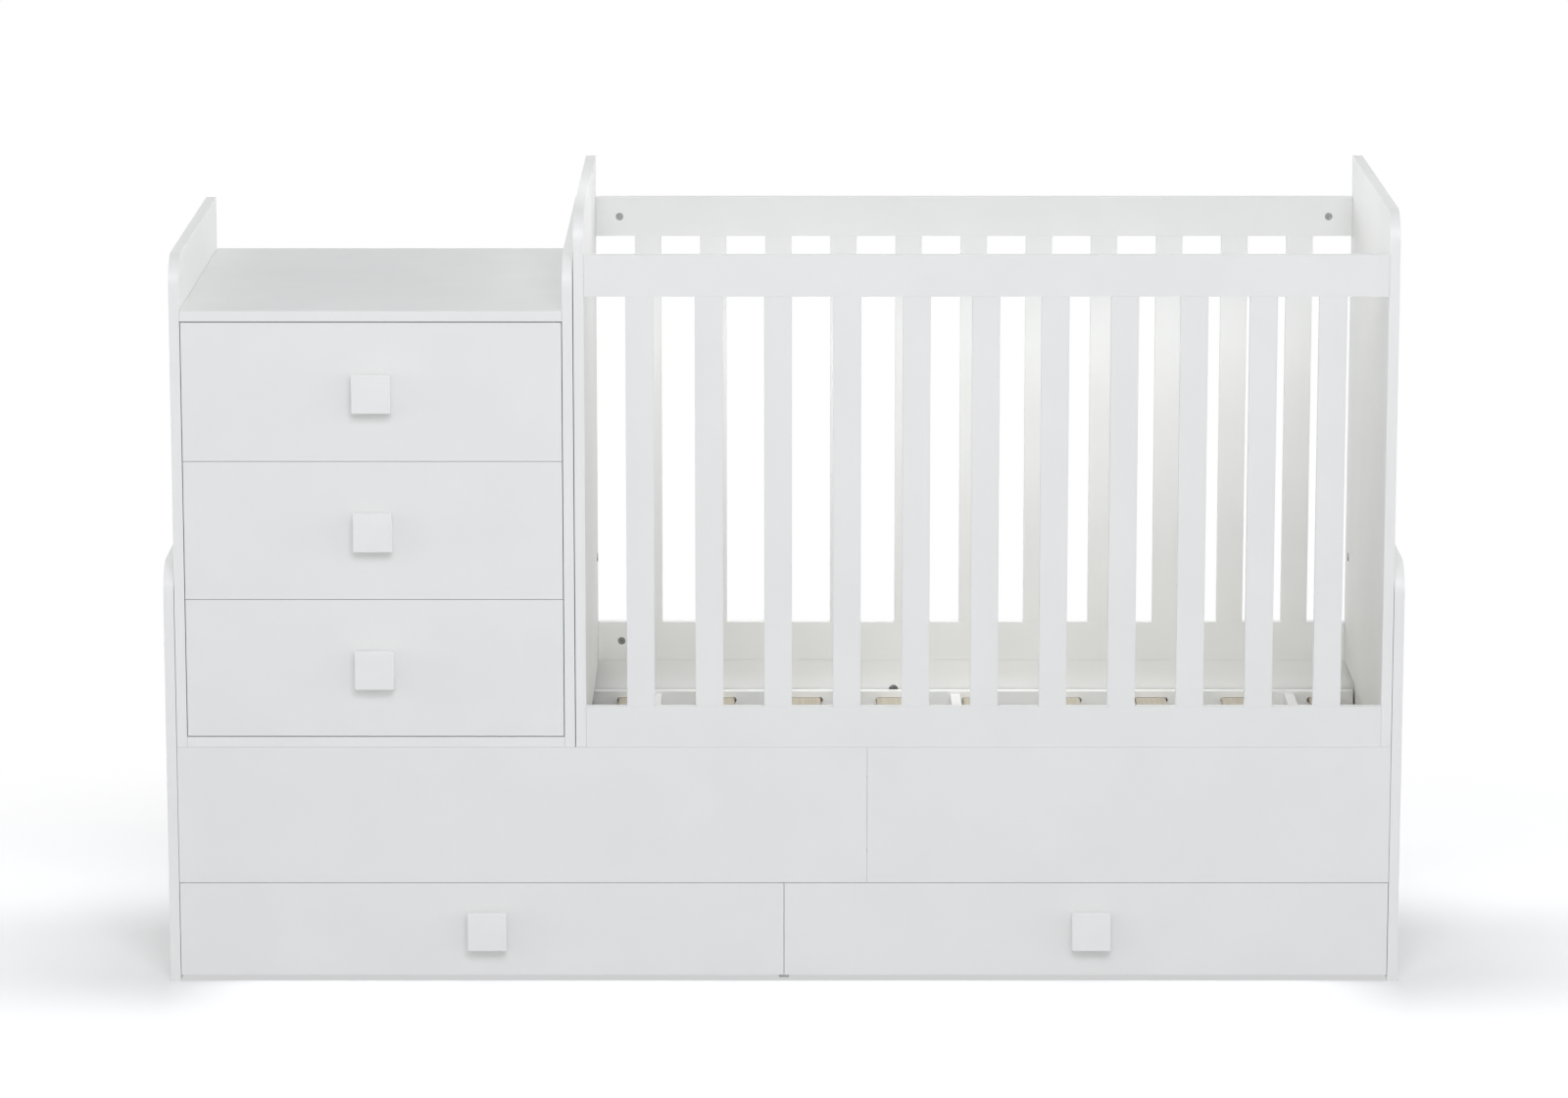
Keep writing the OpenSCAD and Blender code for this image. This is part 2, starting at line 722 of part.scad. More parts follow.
// A roller on a rivet, from x to the right, with broken edges
module roller(x, d, z) {
    chamfer = 0.8;
    r = roller_d / 2;
    translate([x, d, z]) rotate([0, 90, 0]) rotate_extrude() polygon([
        [axle_r + axle_play, 0], [r - chamfer, 0], [r, chamfer],
        [r, roller_w - chamfer], [r - chamfer, roller_w], [axle_r + axle_play, roller_w]
    ]);
}

module cabinet_rollers(k) color(nylon) placed() both_sides()
    roller(steel_t + roller_seat, cabinet_roller_d, box_z(k) + roller_z);

module drawer_rollers(k) color(nylon) placed() both_sides()
    roller(web_x - roller_seat - roller_w, drawer_roller_d, box_z(k) + roller_z);

// The tapered square knob, its back on the front face at the origin; a screw holds it
module knob() {
    half = knob_w / 2;
    neck = knob_neck / 2;
    arc = [
        for (a = [0 : 15 : 90])
            [half - knob_soft + knob_soft * cos(a), -knob_out + knob_soft - knob_soft * sin(a)]
    ];
    side = concat([[neck, 0], [half, -knob_out + knob_rim]], arc);
    profile = concat(side, [for (k = [len(side) - 1 : -1 : 0]) [-side[k][0], side[k][1]]]);
    difference() {
        intersection() {
            translate([0, 0, -half]) linear_extrude(knob_w) polygon(profile);
            rotate([0, 90, 0]) translate([0, 0, -half]) linear_extrude(knob_w) polygon(profile);
            rotate([90, 0, 0]) linear_extrude(knob_out) knob_face();
        }
        rod_d(0, -knob_screw_l, cut, 0, knob_screw_r + knob_screw_play);
    }
    rod_d(0, knob_screw_tip - knob_screw_l, board_t, 0, knob_screw_r);
    rod_d(0, board_t, board_t + knob_screw_head, 0, 2 * knob_screw_r);
}

// The knob's outline from the front, with its corners rounded
module knob_face() {
    inner = knob_w - 2 * knob_corner_r;
    square([knob_w, inner], center = true);
    square([inner, knob_w], center = true);
    for (sx = [-1, 1], sy = [-1, 1])
        translate([sx * inner / 2, sy * inner / 2]) circle(r = knob_corner_r);
}

module drawer_front(k) color(white) placed() difference() {
    block([chest_mid - front_w / 2, 0, front_z(k)],
          [chest_mid + front_w / 2, board_t, front_z(k) + front_h]);
    rod_d(chest_mid, -cut, board_t + cut, front_z(k) + front_h / 2,
          knob_screw_r + knob_screw_play);
    block([chest_mid - box_w / 2 + board_t - groove_d, board_t - groove_d, box_z(k) + bottom_rise],
          [chest_mid + box_w / 2 - board_t + groove_d, board_t + cut,
           box_z(k) + bottom_rise + hardboard_t + groove_play]);
}

module drawer_knob(k) color(white) placed()
    translate([chest_mid, 0, front_z(k) + front_h / 2]) knob();

// Two sides and a back, grooved for the hardboard bottom
module drawer_box(k) color(inner_white) placed() {
    z = box_z(k);
    x0 = chest_mid - box_w / 2;
    x1 = chest_mid + box_w / 2;
    d1 = board_t + runner_l;
    groove0 = z + bottom_rise;
    groove1 = groove0 + hardboard_t + groove_play;
    for (side = [-1, 1]) {
        outer = chest_mid + side * box_w / 2;
        inner = outer - side * board_t;
        lip = inner + side * groove_d;
        difference() {
            block([min(outer, inner), board_t, z], [max(outer, inner), d1, z + box_h]);
            block([min(inner - side, lip), board_t - cut, groove0],
                  [max(inner - side, lip), d1 + cut, groove1]);
        }
    }
    block([x0 + board_t + seam, d1 - board_t, groove1], [x1 - board_t - seam, d1, z + box_h]);
    block([x0 + board_t - groove_d + groove_play, board_t - groove_d + groove_play, groove0 + seam],
          [x1 - board_t + groove_d - groove_play, d1, groove0 + hardboard_t]);
}

// ---- base drawers ----

module low_front(s) color(white) placed() difference() {
    block([low_front_x(s), 0, floor_gap], [low_front_x(s) + low_front_w, board_t, low_front_top]);
    rod_d(low_mid(s) + knob_shift, -cut, board_t + cut, low_knob_z, knob_screw_r + knob_screw_play);
}

module low_knob(s) color(white) placed()
    translate([low_mid(s) + knob_shift, 0, low_knob_z]) knob();

// Sides, back and a board bottom that the castors are screwed to
module low_box(s) color(inner_white) placed() {
    x0 = low_mid(s) - low_box_w / 2;
    x1 = low_mid(s) + low_box_w / 2;
    top = castor_h + low_box_h;
    block([x0, board_t, castor_h], [x0 + board_t, low_box_d1, top]);
    block([x1 - board_t, board_t, castor_h], [x1, low_box_d1, top]);
    block([x0 + board_t + seam, low_box_d1 - board_t, castor_h], [x1 - board_t - seam, low_box_d1, top]);
    block([x0 + board_t + seam, board_t, castor_h],
          [x1 - board_t - seam, low_box_d1 - board_t - seam, castor_h + board_t]);
}

// One castor bracket: a screw plate, two cheeks and the axle riveted through them
module castor(x, d) {
    inner = wheel_w / 2 + wheel_side_gap;
    outer = inner + castor_sheet;
    r = wheel_d / 2;
    neck = castor_plate / 2 - castor_rim;
    translate([x, d, 0]) {
        block([-castor_plate / 2, -castor_plate / 2, castor_h - castor_sheet],
              [castor_plate / 2, castor_plate / 2, castor_h]);
        for (way = [-1, 1])
            translate([way < 0 ? -outer : inner, 0, 0]) rotate([90, 0, 90]) linear_extrude(castor_sheet) {
                polygon([
                    [-castor_cheek_r, r], [castor_cheek_r, r],
                    [neck, castor_h - castor_sheet], [-neck, castor_h - castor_sheet]
                ]);
                circle_below(castor_cheek_r, r);
            }
        rod_x(-outer - rivet_t, outer + rivet_t, 0, r, axle_r);
        for (x0 = [-outer - rivet_t, outer]) rod_x(x0, x0 + rivet_t, 0, r, rivet_r);
    }
}

// The lower half of a disc of radius r whose middle is z above the floor
module circle_below(r, z) {
    intersection() {
        translate([0, z]) circle(r = r);
        translate([-r, z - r]) square([2 * r, r]);
    }
}

module castors(s) color(steel) placed()
    for (x = castor_xs(s), d = castor_ds) castor(x, d);

// A castor wheel with a rounded tread and a dished side
module wheel(x, d) {
    r = wheel_d / 2;
    half = wheel_w / 2;
    soft = 2.5;         // rounding of the tread's edges
    dish = 1.5;         // depth of the ring between hub and tread
    slope = 1;
    hub_r = axle_r + 3;
    rim_r = r - 4;
    tread = [for (a = [0 : 15 : 90]) [r - soft + soft * sin(a), -half + soft - soft * cos(a)]];
    low_side = concat(
        [[axle_r + axle_play, -half], [hub_r, -half], [hub_r + slope, -half + dish],
         [rim_r - slope, -half + dish], [rim_r, -half]], tread);
    profile = concat(low_side, [for (k = [len(low_side) - 1 : -1 : 0]) [low_side[k][0], -low_side[k][1]]]);
    translate([x, d, r]) rotate([0, 90, 0]) rotate_extrude() polygon(profile);
}

module wheels(s, d) color(grey) placed()
    for (x = castor_xs(s)) wheel(x, d);

// ---- the pieces ----

base_end(-1);  // base_end_left
base_end(1);  // base_end_right
front_board_left();
front_board_right();
back_board_left();
back_board_right();
partition();
ledges();
slat_frame_long();
slat_frame_short();
plywood_slats();

crib_end(-1);  // crib_end_left
crib_end(1);  // crib_end_right
crib_front_top_rail();
crib_front_bottom_rail();
crib_front_bars();
crib_back_top_rail();
crib_back_bottom_rail();
crib_back_bars();
bar_dowels();
crib_bolts();
cam_locks();
unit_connectors();

chest_side(-1);  // chest_side_left
chest_side(1);  // chest_side_right
chest_top();
chest_bottom();
chest_back();
chest_runners();

drawer_front(0);  // low_drawer_front
drawer_box(0);  // low_drawer_box
drawer_knob(0);  // low_drawer_knob
drawer_runners(0);  // low_drawer_runners
cabinet_rollers(0);  // low_cabinet_rollers
drawer_rollers(0);  // low_drawer_rollers
drawer_front(1);  // middle_drawer_front
drawer_box(1);  // middle_drawer_box
drawer_knob(1);  // middle_drawer_knob
drawer_runners(1);  // middle_drawer_runners
cabinet_rollers(1);  // middle_cabinet_rollers
drawer_rollers(1);  // middle_drawer_rollers
drawer_front(2);  // top_drawer_front
drawer_box(2);  // top_drawer_box
drawer_knob(2);  // top_drawer_knob
drawer_runners(2);  // top_drawer_runners
cabinet_rollers(2);  // top_cabinet_rollers
drawer_rollers(2);  // top_drawer_rollers

low_front(-1);  // left_bed_drawer_front
low_box(-1);  // left_bed_drawer_box
low_knob(-1);  // left_bed_drawer_knob
castors(-1);  // left_bed_drawer_castors
wheels(-1, castor_ds[0]);  // left_front_wheels
wheels(-1, castor_ds[1]);  // left_rear_wheels
low_front(1);  // right_bed_drawer_front
low_box(1);  // right_bed_drawer_box
low_knob(1);  // right_bed_drawer_knob
castors(1);  // right_bed_drawer_castors
wheels(1, castor_ds[0]);  // right_front_wheels
wheels(1, castor_ds[1]);  // right_rear_wheels
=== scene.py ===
import json
import math

import bmesh
import bpy
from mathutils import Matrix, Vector


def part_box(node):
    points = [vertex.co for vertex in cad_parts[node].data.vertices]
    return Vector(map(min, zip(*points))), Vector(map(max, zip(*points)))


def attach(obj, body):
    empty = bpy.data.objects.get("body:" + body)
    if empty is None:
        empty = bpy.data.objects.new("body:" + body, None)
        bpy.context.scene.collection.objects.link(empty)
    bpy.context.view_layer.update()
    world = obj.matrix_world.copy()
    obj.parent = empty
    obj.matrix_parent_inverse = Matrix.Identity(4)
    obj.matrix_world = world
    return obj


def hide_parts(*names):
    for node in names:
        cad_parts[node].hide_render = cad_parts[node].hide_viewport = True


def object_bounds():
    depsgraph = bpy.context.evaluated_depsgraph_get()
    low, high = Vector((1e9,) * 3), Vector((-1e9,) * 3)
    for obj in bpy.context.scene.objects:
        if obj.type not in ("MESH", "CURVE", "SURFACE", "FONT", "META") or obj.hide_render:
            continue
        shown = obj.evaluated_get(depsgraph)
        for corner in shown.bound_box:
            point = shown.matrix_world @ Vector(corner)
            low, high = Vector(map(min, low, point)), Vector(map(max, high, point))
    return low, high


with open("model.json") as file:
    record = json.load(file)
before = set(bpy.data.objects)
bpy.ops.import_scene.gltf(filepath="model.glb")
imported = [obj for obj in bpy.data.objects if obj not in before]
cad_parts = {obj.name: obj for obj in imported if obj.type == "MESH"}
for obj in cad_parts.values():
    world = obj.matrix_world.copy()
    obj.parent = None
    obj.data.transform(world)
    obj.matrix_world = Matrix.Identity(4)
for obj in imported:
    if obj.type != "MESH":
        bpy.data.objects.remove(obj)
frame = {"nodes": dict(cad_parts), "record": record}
cad_low, cad_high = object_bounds()

# ---- Studio ----
# A pale floor that turns pure white away from the furniture and keeps its soft shadow, a low even
# light from all round, a large soft lamp in front, high up and a little to the right, and a small
# one over the crib. The camera stands 9.5 m in front and looks down by 11 degrees.


def linear(colour):
    """An sRGB hex colour as linear red, green, blue and an alpha of 1."""
    parts = [int(colour[k : k + 2], 16) / 255 for k in (1, 3, 5)]
    return [c / 12.92 if c <= 0.04045 else ((c + 0.055) / 1.055) ** 2.4 for c in parts] + [1.0]


def add(tree, kind, inputs=None, **settings):
    """Adds a node with its settings; an input that is another node's socket is linked."""
    node = tree.nodes.new(kind)
    for name, value in settings.items():
        setattr(node, name, value)
    for name, value in (inputs or {}).items():
        if isinstance(value, bpy.types.NodeSocket):
            tree.links.new(value, node.inputs[name])
        else:
            node.inputs[name].default_value = value
    return node


def seen_directly(tree):
    """1 where the camera, a mirror or a pane looks, 0 where light falls on the furniture."""
    path = add(tree, "ShaderNodeLightPath")
    mirror = add(tree, "ShaderNodeMath", {0: path.outputs["Is Camera Ray"], 1: path.outputs["Is Glossy Ray"]},
                 operation="MAXIMUM")
    return add(tree, "ShaderNodeMath", {0: mirror.outputs[0], 1: path.outputs["Is Transmission Ray"]},
               operation="MAXIMUM").outputs[0]


def finished(obj, *materials):
    """Gives an object its materials, first slot first."""
    obj.data.materials.clear()
    for material in materials:
        obj.data.materials.append(material)
    return obj


scene = bpy.context.scene
floor_half = 30.0
floor_mesh = bpy.data.meshes.new("studio_floor")
floor_mesh.from_pydata([(-floor_half, -floor_half, 0), (floor_half, -floor_half, 0),
                        (floor_half, floor_half, 0), (-floor_half, floor_half, 0)], [], [(0, 1, 2, 3)])
floor = bpy.data.objects.new("studio_floor", floor_mesh)
scene.collection.objects.link(floor)

# Painted studio floor, matt: diffuse shade near the furniture, painted shade greying its colour beside
# its two ends, a painted glow of even pale grey under it, and plain white further out
floor_paint = bpy.data.materials.new("matt_studio_paint")
floor_paint.use_nodes = True
tree = floor_paint.node_tree
tree.nodes.clear()
place = add(tree, "ShaderNodeTexCoord").outputs["Object"]
flat = add(tree, "ShaderNodeMapping", {"Vector": place, "Location": (0, 0.25, 0), "Scale": (0.42, 0.62, 0)})
white_from, white_full = 0.55, 1.1
reach = add(tree, "ShaderNodeVectorMath", {0: flat.outputs[0]}, operation="LENGTH")
far = add(tree, "ShaderNodeMapRange", {
    "Value": reach.outputs["Value"], "From Min": white_from, "From Max": white_full},
    interpolation_type="SMOOTHSTEP")
half_length, front_line = cad_high.x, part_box("base_end_left")[0].y
# Painted shade: beside the base's two ends the floor's colour greys from 1.38 towards 0.92, standing in for
# the shadow cast there
end_shade, end_inside = 0.55, 0.15
shade_middle_y, shade_full, shade_gone = -0.15, 0.10, 0.48
spot = add(tree, "ShaderNodeSeparateXYZ", {0: place})
across = add(tree, "ShaderNodeMath", {0: spot.outputs["X"]}, operation="ABSOLUTE")
outward = add(tree, "ShaderNodeMapRange", {"Value": across.outputs[0], "From Min": half_length,
                                           "From Max": half_length + end_shade, "To Min": 1.0, "To Max": 0.0})
inward = add(tree, "ShaderNodeMapRange", {"Value": across.outputs[0], "From Min": half_length - end_inside,
                                          "From Max": half_length})
depth = add(tree, "ShaderNodeMath", {0: spot.outputs["Y"], 1: shade_middle_y}, operation="SUBTRACT")
depth = add(tree, "ShaderNodeMath", {0: depth.outputs[0]}, operation="ABSOLUTE")
along = add(tree, "ShaderNodeMapRange", {
    "Value": depth.outputs[0], "From Min": shade_full, "From Max": shade_gone, "To Min": 1.0, "To Max": 0.0},
    interpolation_type="SMOOTHSTEP")
painted_end_shade = add(tree, "ShaderNodeMath", {0: outward.outputs[0], 1: inward.outputs[0]}, operation="MULTIPLY")
painted_end_shade = add(tree, "ShaderNodeMath", {0: painted_end_shade.outputs[0], 1: along.outputs[0]}, operation="MULTIPLY")
tone = add(tree, "ShaderNodeMix", {0: painted_end_shade.outputs[0], 6: (1.38, 1.38, 1.38, 1), 7: (0.92, 0.92, 0.91, 1)},
           data_type="RGBA")
bright = add(tree, "ShaderNodeBsdfDiffuse", {"Color": tone.outputs[2]})
plain = add(tree, "ShaderNodeBsdfDiffuse", {"Color": linear("#D6D6D6")})
glow = add(tree, "ShaderNodeEmission", {"Color": (1, 1, 1, 1), "Strength": 1.0})
# Painted light: under the furniture the floor glows an even pale grey for the camera, though it lies in shade
# there
under_x = add(tree, "ShaderNodeMath", {0: across.outputs[0], 1: half_length}, operation="LESS_THAN")
middle = add(tree, "ShaderNodeMath", {0: spot.outputs["Y"], 1: (cad_high.y + front_line) / 2},
             operation="SUBTRACT")
middle = add(tree, "ShaderNodeMath", {0: middle.outputs[0]}, operation="ABSOLUTE")
under_y = add(tree, "ShaderNodeMath", {0: middle.outputs[0], 1: (cad_high.y - front_line) / 2},
              operation="LESS_THAN")
under = add(tree, "ShaderNodeMath", {0: under_x.outputs[0], 1: under_y.outputs[0]}, operation="MULTIPLY")
painted_glow_under = add(tree, "ShaderNodeEmission", {"Color": (1, 1, 1, 1), "Strength": 0.62})
near = add(tree, "ShaderNodeMixShader", {0: under.outputs[0], 1: bright.outputs[0], 2: painted_glow_under.outputs[0]})
shown = add(tree, "ShaderNodeMixShader", {0: far.outputs[0], 1: near.outputs[0], 2: glow.outputs[0]})
both = add(tree, "ShaderNodeMixShader", {0: seen_directly(tree), 1: plain.outputs[0], 2: shown.outputs[0]})
add(tree, "ShaderNodeOutputMaterial", {"Surface": both.outputs[0]})
finished(floor, floor_paint)

# Air: an even light from all round, stronger near the horizon beside and behind the furniture, and
# white to the camera
air_level, rear_level = 0.41, 3.0
world = bpy.data.worlds.new("studio_air")
world.use_nodes = True
scene.world = world
tree = world.node_tree
tree.nodes.clear()
way = add(tree, "ShaderNodeSeparateXYZ", {0: add(tree, "ShaderNodeTexCoord").outputs["Generated"]})
lift = add(tree, "ShaderNodeMath", {0: way.outputs["Z"]}, operation="ABSOLUTE")
low_walls = add(tree, "ShaderNodeMapRange", {"Value": lift.outputs[0], "From Min": 0.0, "From Max": 0.5,
                                             "To Min": 1.0, "To Max": 0.0})
round_behind = add(tree, "ShaderNodeMapRange", {"Value": way.outputs["Y"], "From Min": -1.0, "From Max": -0.3,
                                                "To Min": 0.0, "To Max": rear_level})
level = add(tree, "ShaderNodeMath", {0: low_walls.outputs[0], 1: round_behind.outputs[0], 2: air_level},
            operation="MULTIPLY_ADD")
even = add(tree, "ShaderNodeBackground", {"Color": linear("#FBFDFF"), "Strength": level.outputs[0]})
white_air = add(tree, "ShaderNodeBackground", {"Color": (1, 1, 1, 1), "Strength": 1.0})
air = add(tree, "ShaderNodeMixShader", {0: seen_directly(tree), 1: even.outputs[0], 2: white_air.outputs[0]})
add(tree, "ShaderNodeOutputWorld", {"Surface": air.outputs[0]})


def softbox(name, width, height, energy, place, aim):
    """A rectangular soft lamp that looks at a point."""
    data = bpy.data.lights.new(name, "AREA")
    data.shape = "RECTANGLE"
    data.size, data.size_y, data.energy = width, height, energy
    obj = bpy.data.objects.new(name, data)
    obj.location = place
    obj.rotation_euler = (Vector(aim) - obj.location).to_track_quat("-Z", "Y").to_euler()
    scene.collection.objects.link(obj)
    return obj


front_lamp = softbox("front_softbox", 3.4, 2.4, 147, place=(0.3, -5.6, 4.5), aim=(0, 0, 0.6))
front_lamp.data.color = linear("#F8FAFF")[:3]
crib_lamp = softbox("softbox_over_crib", 1.06, 0.26, 1.3, place=(0.28, -0.16, 1.36), aim=(0.28, 0.31, 0.36))
crib_lamp.data.spread = math.radians(72)
crib_lamp.visible_camera = False

camera_away, camera_height, camera_down, camera_lens = 9.509, 2.5146, 11.30, 142.04
camera_data = bpy.data.cameras.new("camera")
camera_data.sensor_fit, camera_data.sensor_width, camera_data.lens = "HORIZONTAL", 36.0, camera_lens
camera_data.clip_end = 100
camera = bpy.data.objects.new("camera", camera_data)
camera.location = (0, -camera_away, camera_height)
camera.rotation_euler = (math.radians(90 - camera_down), 0, 0)
scene.collection.objects.link(camera)
scene.camera = camera
scene.view_settings.view_transform = "Standard"

# ---- End panels ----
# The four upright end panels of base and crib and the two chest sides: 16 mm chipboard with white
# melamine on both faces, sawn with one rounded corner and edged with a glued band of white ABS.
# Cam pins end in blind bores in them; bolts and connectors go right through.


def surface(name):
    """A new material, its node tree, and the place on the piece in metres."""
    material = bpy.data.materials.new(name)
    material.use_nodes = True
    material.node_tree.nodes.clear()
    return material, material.node_tree, add(material.node_tree, "ShaderNodeTexCoord").outputs["Object"]


noise_low, noise_high = 0.35, 0.65


def patches(tree, vector, size, dark, light, detail=2.0):
    """A noise of patches about size metres wide, spread between two values or two colours."""
    noise = add(tree, "ShaderNodeTexNoise", {"Vector": vector, "Scale": 1 / size, "Detail": detail})
    spread = {"Value": noise.outputs[0], "From Min": noise_low, "From Max": noise_high}
    if isinstance(dark, str):
        share = add(tree, "ShaderNodeMapRange", spread)
        return add(tree, "ShaderNodeMix", {0: share.outputs[0], 6: linear(dark), 7: linear(light)},
                   data_type="RGBA").outputs[2]
    return add(tree, "ShaderNodeMapRange", {**spread, "To Min": dark, "To Max": light}).outputs[0]


def relief(tree, strength, distance, height):
    """The bumped normal of a material; distance is the height of the bumps in metres."""
    bump = add(tree, "ShaderNodeBump", {"Strength": strength, "Distance": distance, "Height": height})
    return bump.outputs[0]


def skinned(tree, **inputs):
    """Ends a material in a Principled skin; underscores stand for the spaces in its inputs' names."""
    skin = add(tree, "ShaderNodeBsdfPrincipled", {name.replace("_", " "): v for name, v in inputs.items()})
    add(tree, "ShaderNodeOutputMaterial", {"Surface": skin.outputs[0]})


# White melamine pressed on chipboard with a pearl plate: a satin white whose highlight is broken by
# flat pimples. The real ones are 1 mm apart; they are drawn 3 mm apart, so that they show.
melamine, tree, place = surface("white_melamine_board")
pimples = relief(tree, 0.10, 0.0002, patches(tree, place, 0.003, 0.0, 1.0))
skinned(tree, Base_Color=patches(tree, place, 0.12, "#EEEEEC", "#F0F0EE"),
        Roughness=patches(tree, place, 0.05, 0.50, 0.60), IOR=1.5, Specular_IOR_Level=0.3, Normal=pimples)

# ABS edge band, extruded and planed flush: a shade whiter and smoother than the board's face, with
# drawn lines along it. The real lines are finer; they are drawn 2 mm apart, so that they show.
edging, tree, place = surface("white_abs_edge_band")
lines = relief(tree, 0.05, 0.0001, patches(tree, place, 0.002, 0.0, 1.0))
skinned(tree, Base_Color=patches(tree, place, 0.2, "#EFEFED", "#F1F1EF"),
        Roughness=patches(tree, place, 0.03, 0.34, 0.42), IOR=1.53, Normal=lines)

# Raw chipboard where a hole or a groove is cut: pressed spruce chips 2 to 6 mm long
chips, tree, place = surface("raw_chipboard")
grain = add(tree, "ShaderNodeTexVoronoi", {"Vector": place, "Scale": 1 / 0.003})
tone = add(tree, "ShaderNodeMix", {0: grain.outputs["Color"], 6: linear("#A98558"), 7: linear("#CFB085")},
           data_type="RGBA")
torn = relief(tree, 0.5, 0.0005, grain.outputs["Distance"])
skinned(tree, Base_Color=tone.outputs[2], Roughness=0.9, IOR=1.45, Normal=torn)

node_body = {n: b for b, members in frame["record"]["behaviour"]["bodies"].items() for n in members}


def merged(name, node):
    """A copy of a CAD node with its triangles merged into closed flat faces, and its solids: for
    each the numbers of its faces and its lowest and highest corner."""
    shape = bmesh.new()
    shape.from_mesh(frame["nodes"][node].data)
    bmesh.ops.remove_doubles(shape, verts=shape.verts, dist=1e-6)
    bmesh.ops.dissolve_limit(shape, angle_limit=math.radians(0.5), verts=shape.verts, edges=shape.edges)
    shape.faces.index_update()
    solids, seen = [], set()
    for first in shape.faces:
        if first in seen:
            continue
        seen.add(first)
        group, queue = [first], [first]
        while queue:
            for edge in queue.pop().edges:
                for face in edge.link_faces:
                    if face not in seen:
                        seen.add(face)
                        group.append(face)
                        queue.append(face)
        corners = [v.co for face in group for v in face.verts]
        solids.append(([face.index for face in group], Vector(map(min, *corners)),
                       Vector(map(max, *corners))))
    mesh = bpy.data.meshes.new(name)
    shape.to_mesh(mesh)
    shape.free()
    obj = bpy.data.objects.new(name, mesh)
    scene.collection.objects.link(obj)
    return obj, solids


def baked(obj):
    """Turns an object's modifiers into plain mesh."""
    depsgraph = bpy.context.evaluated_depsgraph_get()
    mesh = bpy.data.meshes.new_from_object(obj.evaluated_get(depsgraph), depsgraph=depsgraph)
    obj.modifiers.clear()
    obj.data = mesh
    mesh.name = obj.name
    return obj


def eased(obj, width):
    """Breaks the sharp arrises of a piece by a small round and shades only its curves smoothly."""
    bevel = obj.modifiers.new("arris", "BEVEL")
    bevel.width, bevel.segments = width, 2
    bevel.limit_method, bevel.angle_limit = "ANGLE", math.radians(35)
    baked(obj)
    for face in obj.data.polygons:
        face.use_smooth = True
    obj.data.set_sharp_from_angle(angle=math.radians(20))
    return obj


def stands_for(obj, slot, *replaced):
    """The piece rides where the CAD nodes that it stands for ride, and those nodes are hidden; slot is not
    used.
    """
    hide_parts(*replaced)
    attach(obj, node_body[replaced[0]])
    return obj


hairline, arris = 0.00012, 0.0008
touching, thinnest_board, corner_room, big_panel = 1e-5, 0.005, 0.06, 0.5


def board(name, node, cut=chips, thin=melamine, slot="white_board", wider=(-hairline, -hairline),
          taller=-hairline, ease=arris):
    """Coated boards: the faces across their thickness are coated, their four sides take the edge
    band, and what is cut into them shows the chips. Sheets thinner than 5 mm are of material thin.
    Their outline grows by wider to the left and right and by taller up and down. Where nothing else
    is given both are a little below zero, so that a hairline shows where two boards meet."""
    obj, solids = merged(name, node)
    finished(obj, melamine, edging, cut, thin)
    for faces, low, high in solids:
        size = high - low
        across = min(range(3), key=lambda k: size[k])
        for k in faces:
            face = obj.data.polygons[k]
            n, c = face.normal, face.center
            outside = any(abs(c[a] - low[a]) < touching or abs(c[a] - high[a]) < touching for a in range(3))
            round_corner = max(size) > big_panel and c.z > high.z - corner_room and c.y < low.y + corner_room
            if size[across] < thinnest_board:
                face.material_index = 3
            elif abs(n[across]) < 0.5:
                face.material_index = 1 if outside or (across == 0 and round_corner) else 2
        for k in {v for face in faces for v in obj.data.polygons[face].vertices}:
            point = obj.data.vertices[k].co
            for axis, less, more in ((0, *wider), (2, taller, taller)):
                if abs(point[axis] - low[axis]) < touching:
                    point[axis] -= less
                elif abs(point[axis] - high[axis]) < touching:
                    point[axis] += more
    return stands_for(eased(obj, ease), slot, node)


for side in ("left", "right"):
    board(f"base_end_panel_{side}", f"base_end_{side}")
    board(f"crib_end_panel_{side}", f"crib_end_{side}")
    board(f"chest_side_panel_{side}", f"chest_side_{side}")

# ---- Base boards ----
# Front and back board of the base, each in two lengths that meet off the middle, and the partition
# between the base drawers: the same coated chipboard. Cams in the boards' inner faces pull the
# joints tight.

# The front boards are drawn this much shorter at their outer ends and where they meet, so that the
# fine dark lines of these joints show
at_end, at_joint = -0.0005, -0.0002
for side in ("left", "right"):
    board(f"base_front_board_{side}", f"front_board_{side}",
          wider=(at_end, at_joint) if side == "left" else (at_joint, at_end))
    board(f"base_back_board_{side}", f"back_board_{side}")
board("base_partition", "partition", cut=edging)

# ---- Battens ----
# Two square pine battens screwed to the inside of the front and back boards. They carry the slatted
# frames and bridge the joint of the boards.

# At scale 1 a wave texture repeats every 0.314 m, so wave_scale / w repeats every w metres
wave_scale = 0.314

# Planed pine, unfinished: fine straight grain along the batten, year rings about 3 mm apart
pine, tree, place = surface("planed_pine")
drawn = add(tree, "ShaderNodeMapping", {"Vector": place, "Scale": (0.04, 1, 1)})
rings = add(tree, "ShaderNodeTexWave", {
    "Vector": drawn.outputs[0], "Scale": wave_scale / 0.003, "Distortion": 4.0, "Detail": 2.0},
    bands_direction="Z")
tone = add(tree, "ShaderNodeMix", {0: rings.outputs[0], 6: linear("#E2C99C"), 7: linear("#CBA66F")},
           data_type="RGBA")
ridges = relief(tree, 0.2, 0.0002, rings.outputs[0])
skinned(tree, Base_Color=tone.outputs[2], Roughness=0.65, IOR=1.45, Normal=ridges)
stands_for(eased(finished(merged("base_battens", "ledges")[0], pine), 0.001), "beech", "ledges")

# ---- Slatted frames ----
# Two loose frames lie on the battens: routed front and back rails of coated board with glued cross
# bars, and plywood slats whose ends stick in the round-ended slots.
for length in ("long", "short"):
    board(f"slatted_frame_{length}", f"slat_frame_{length}")


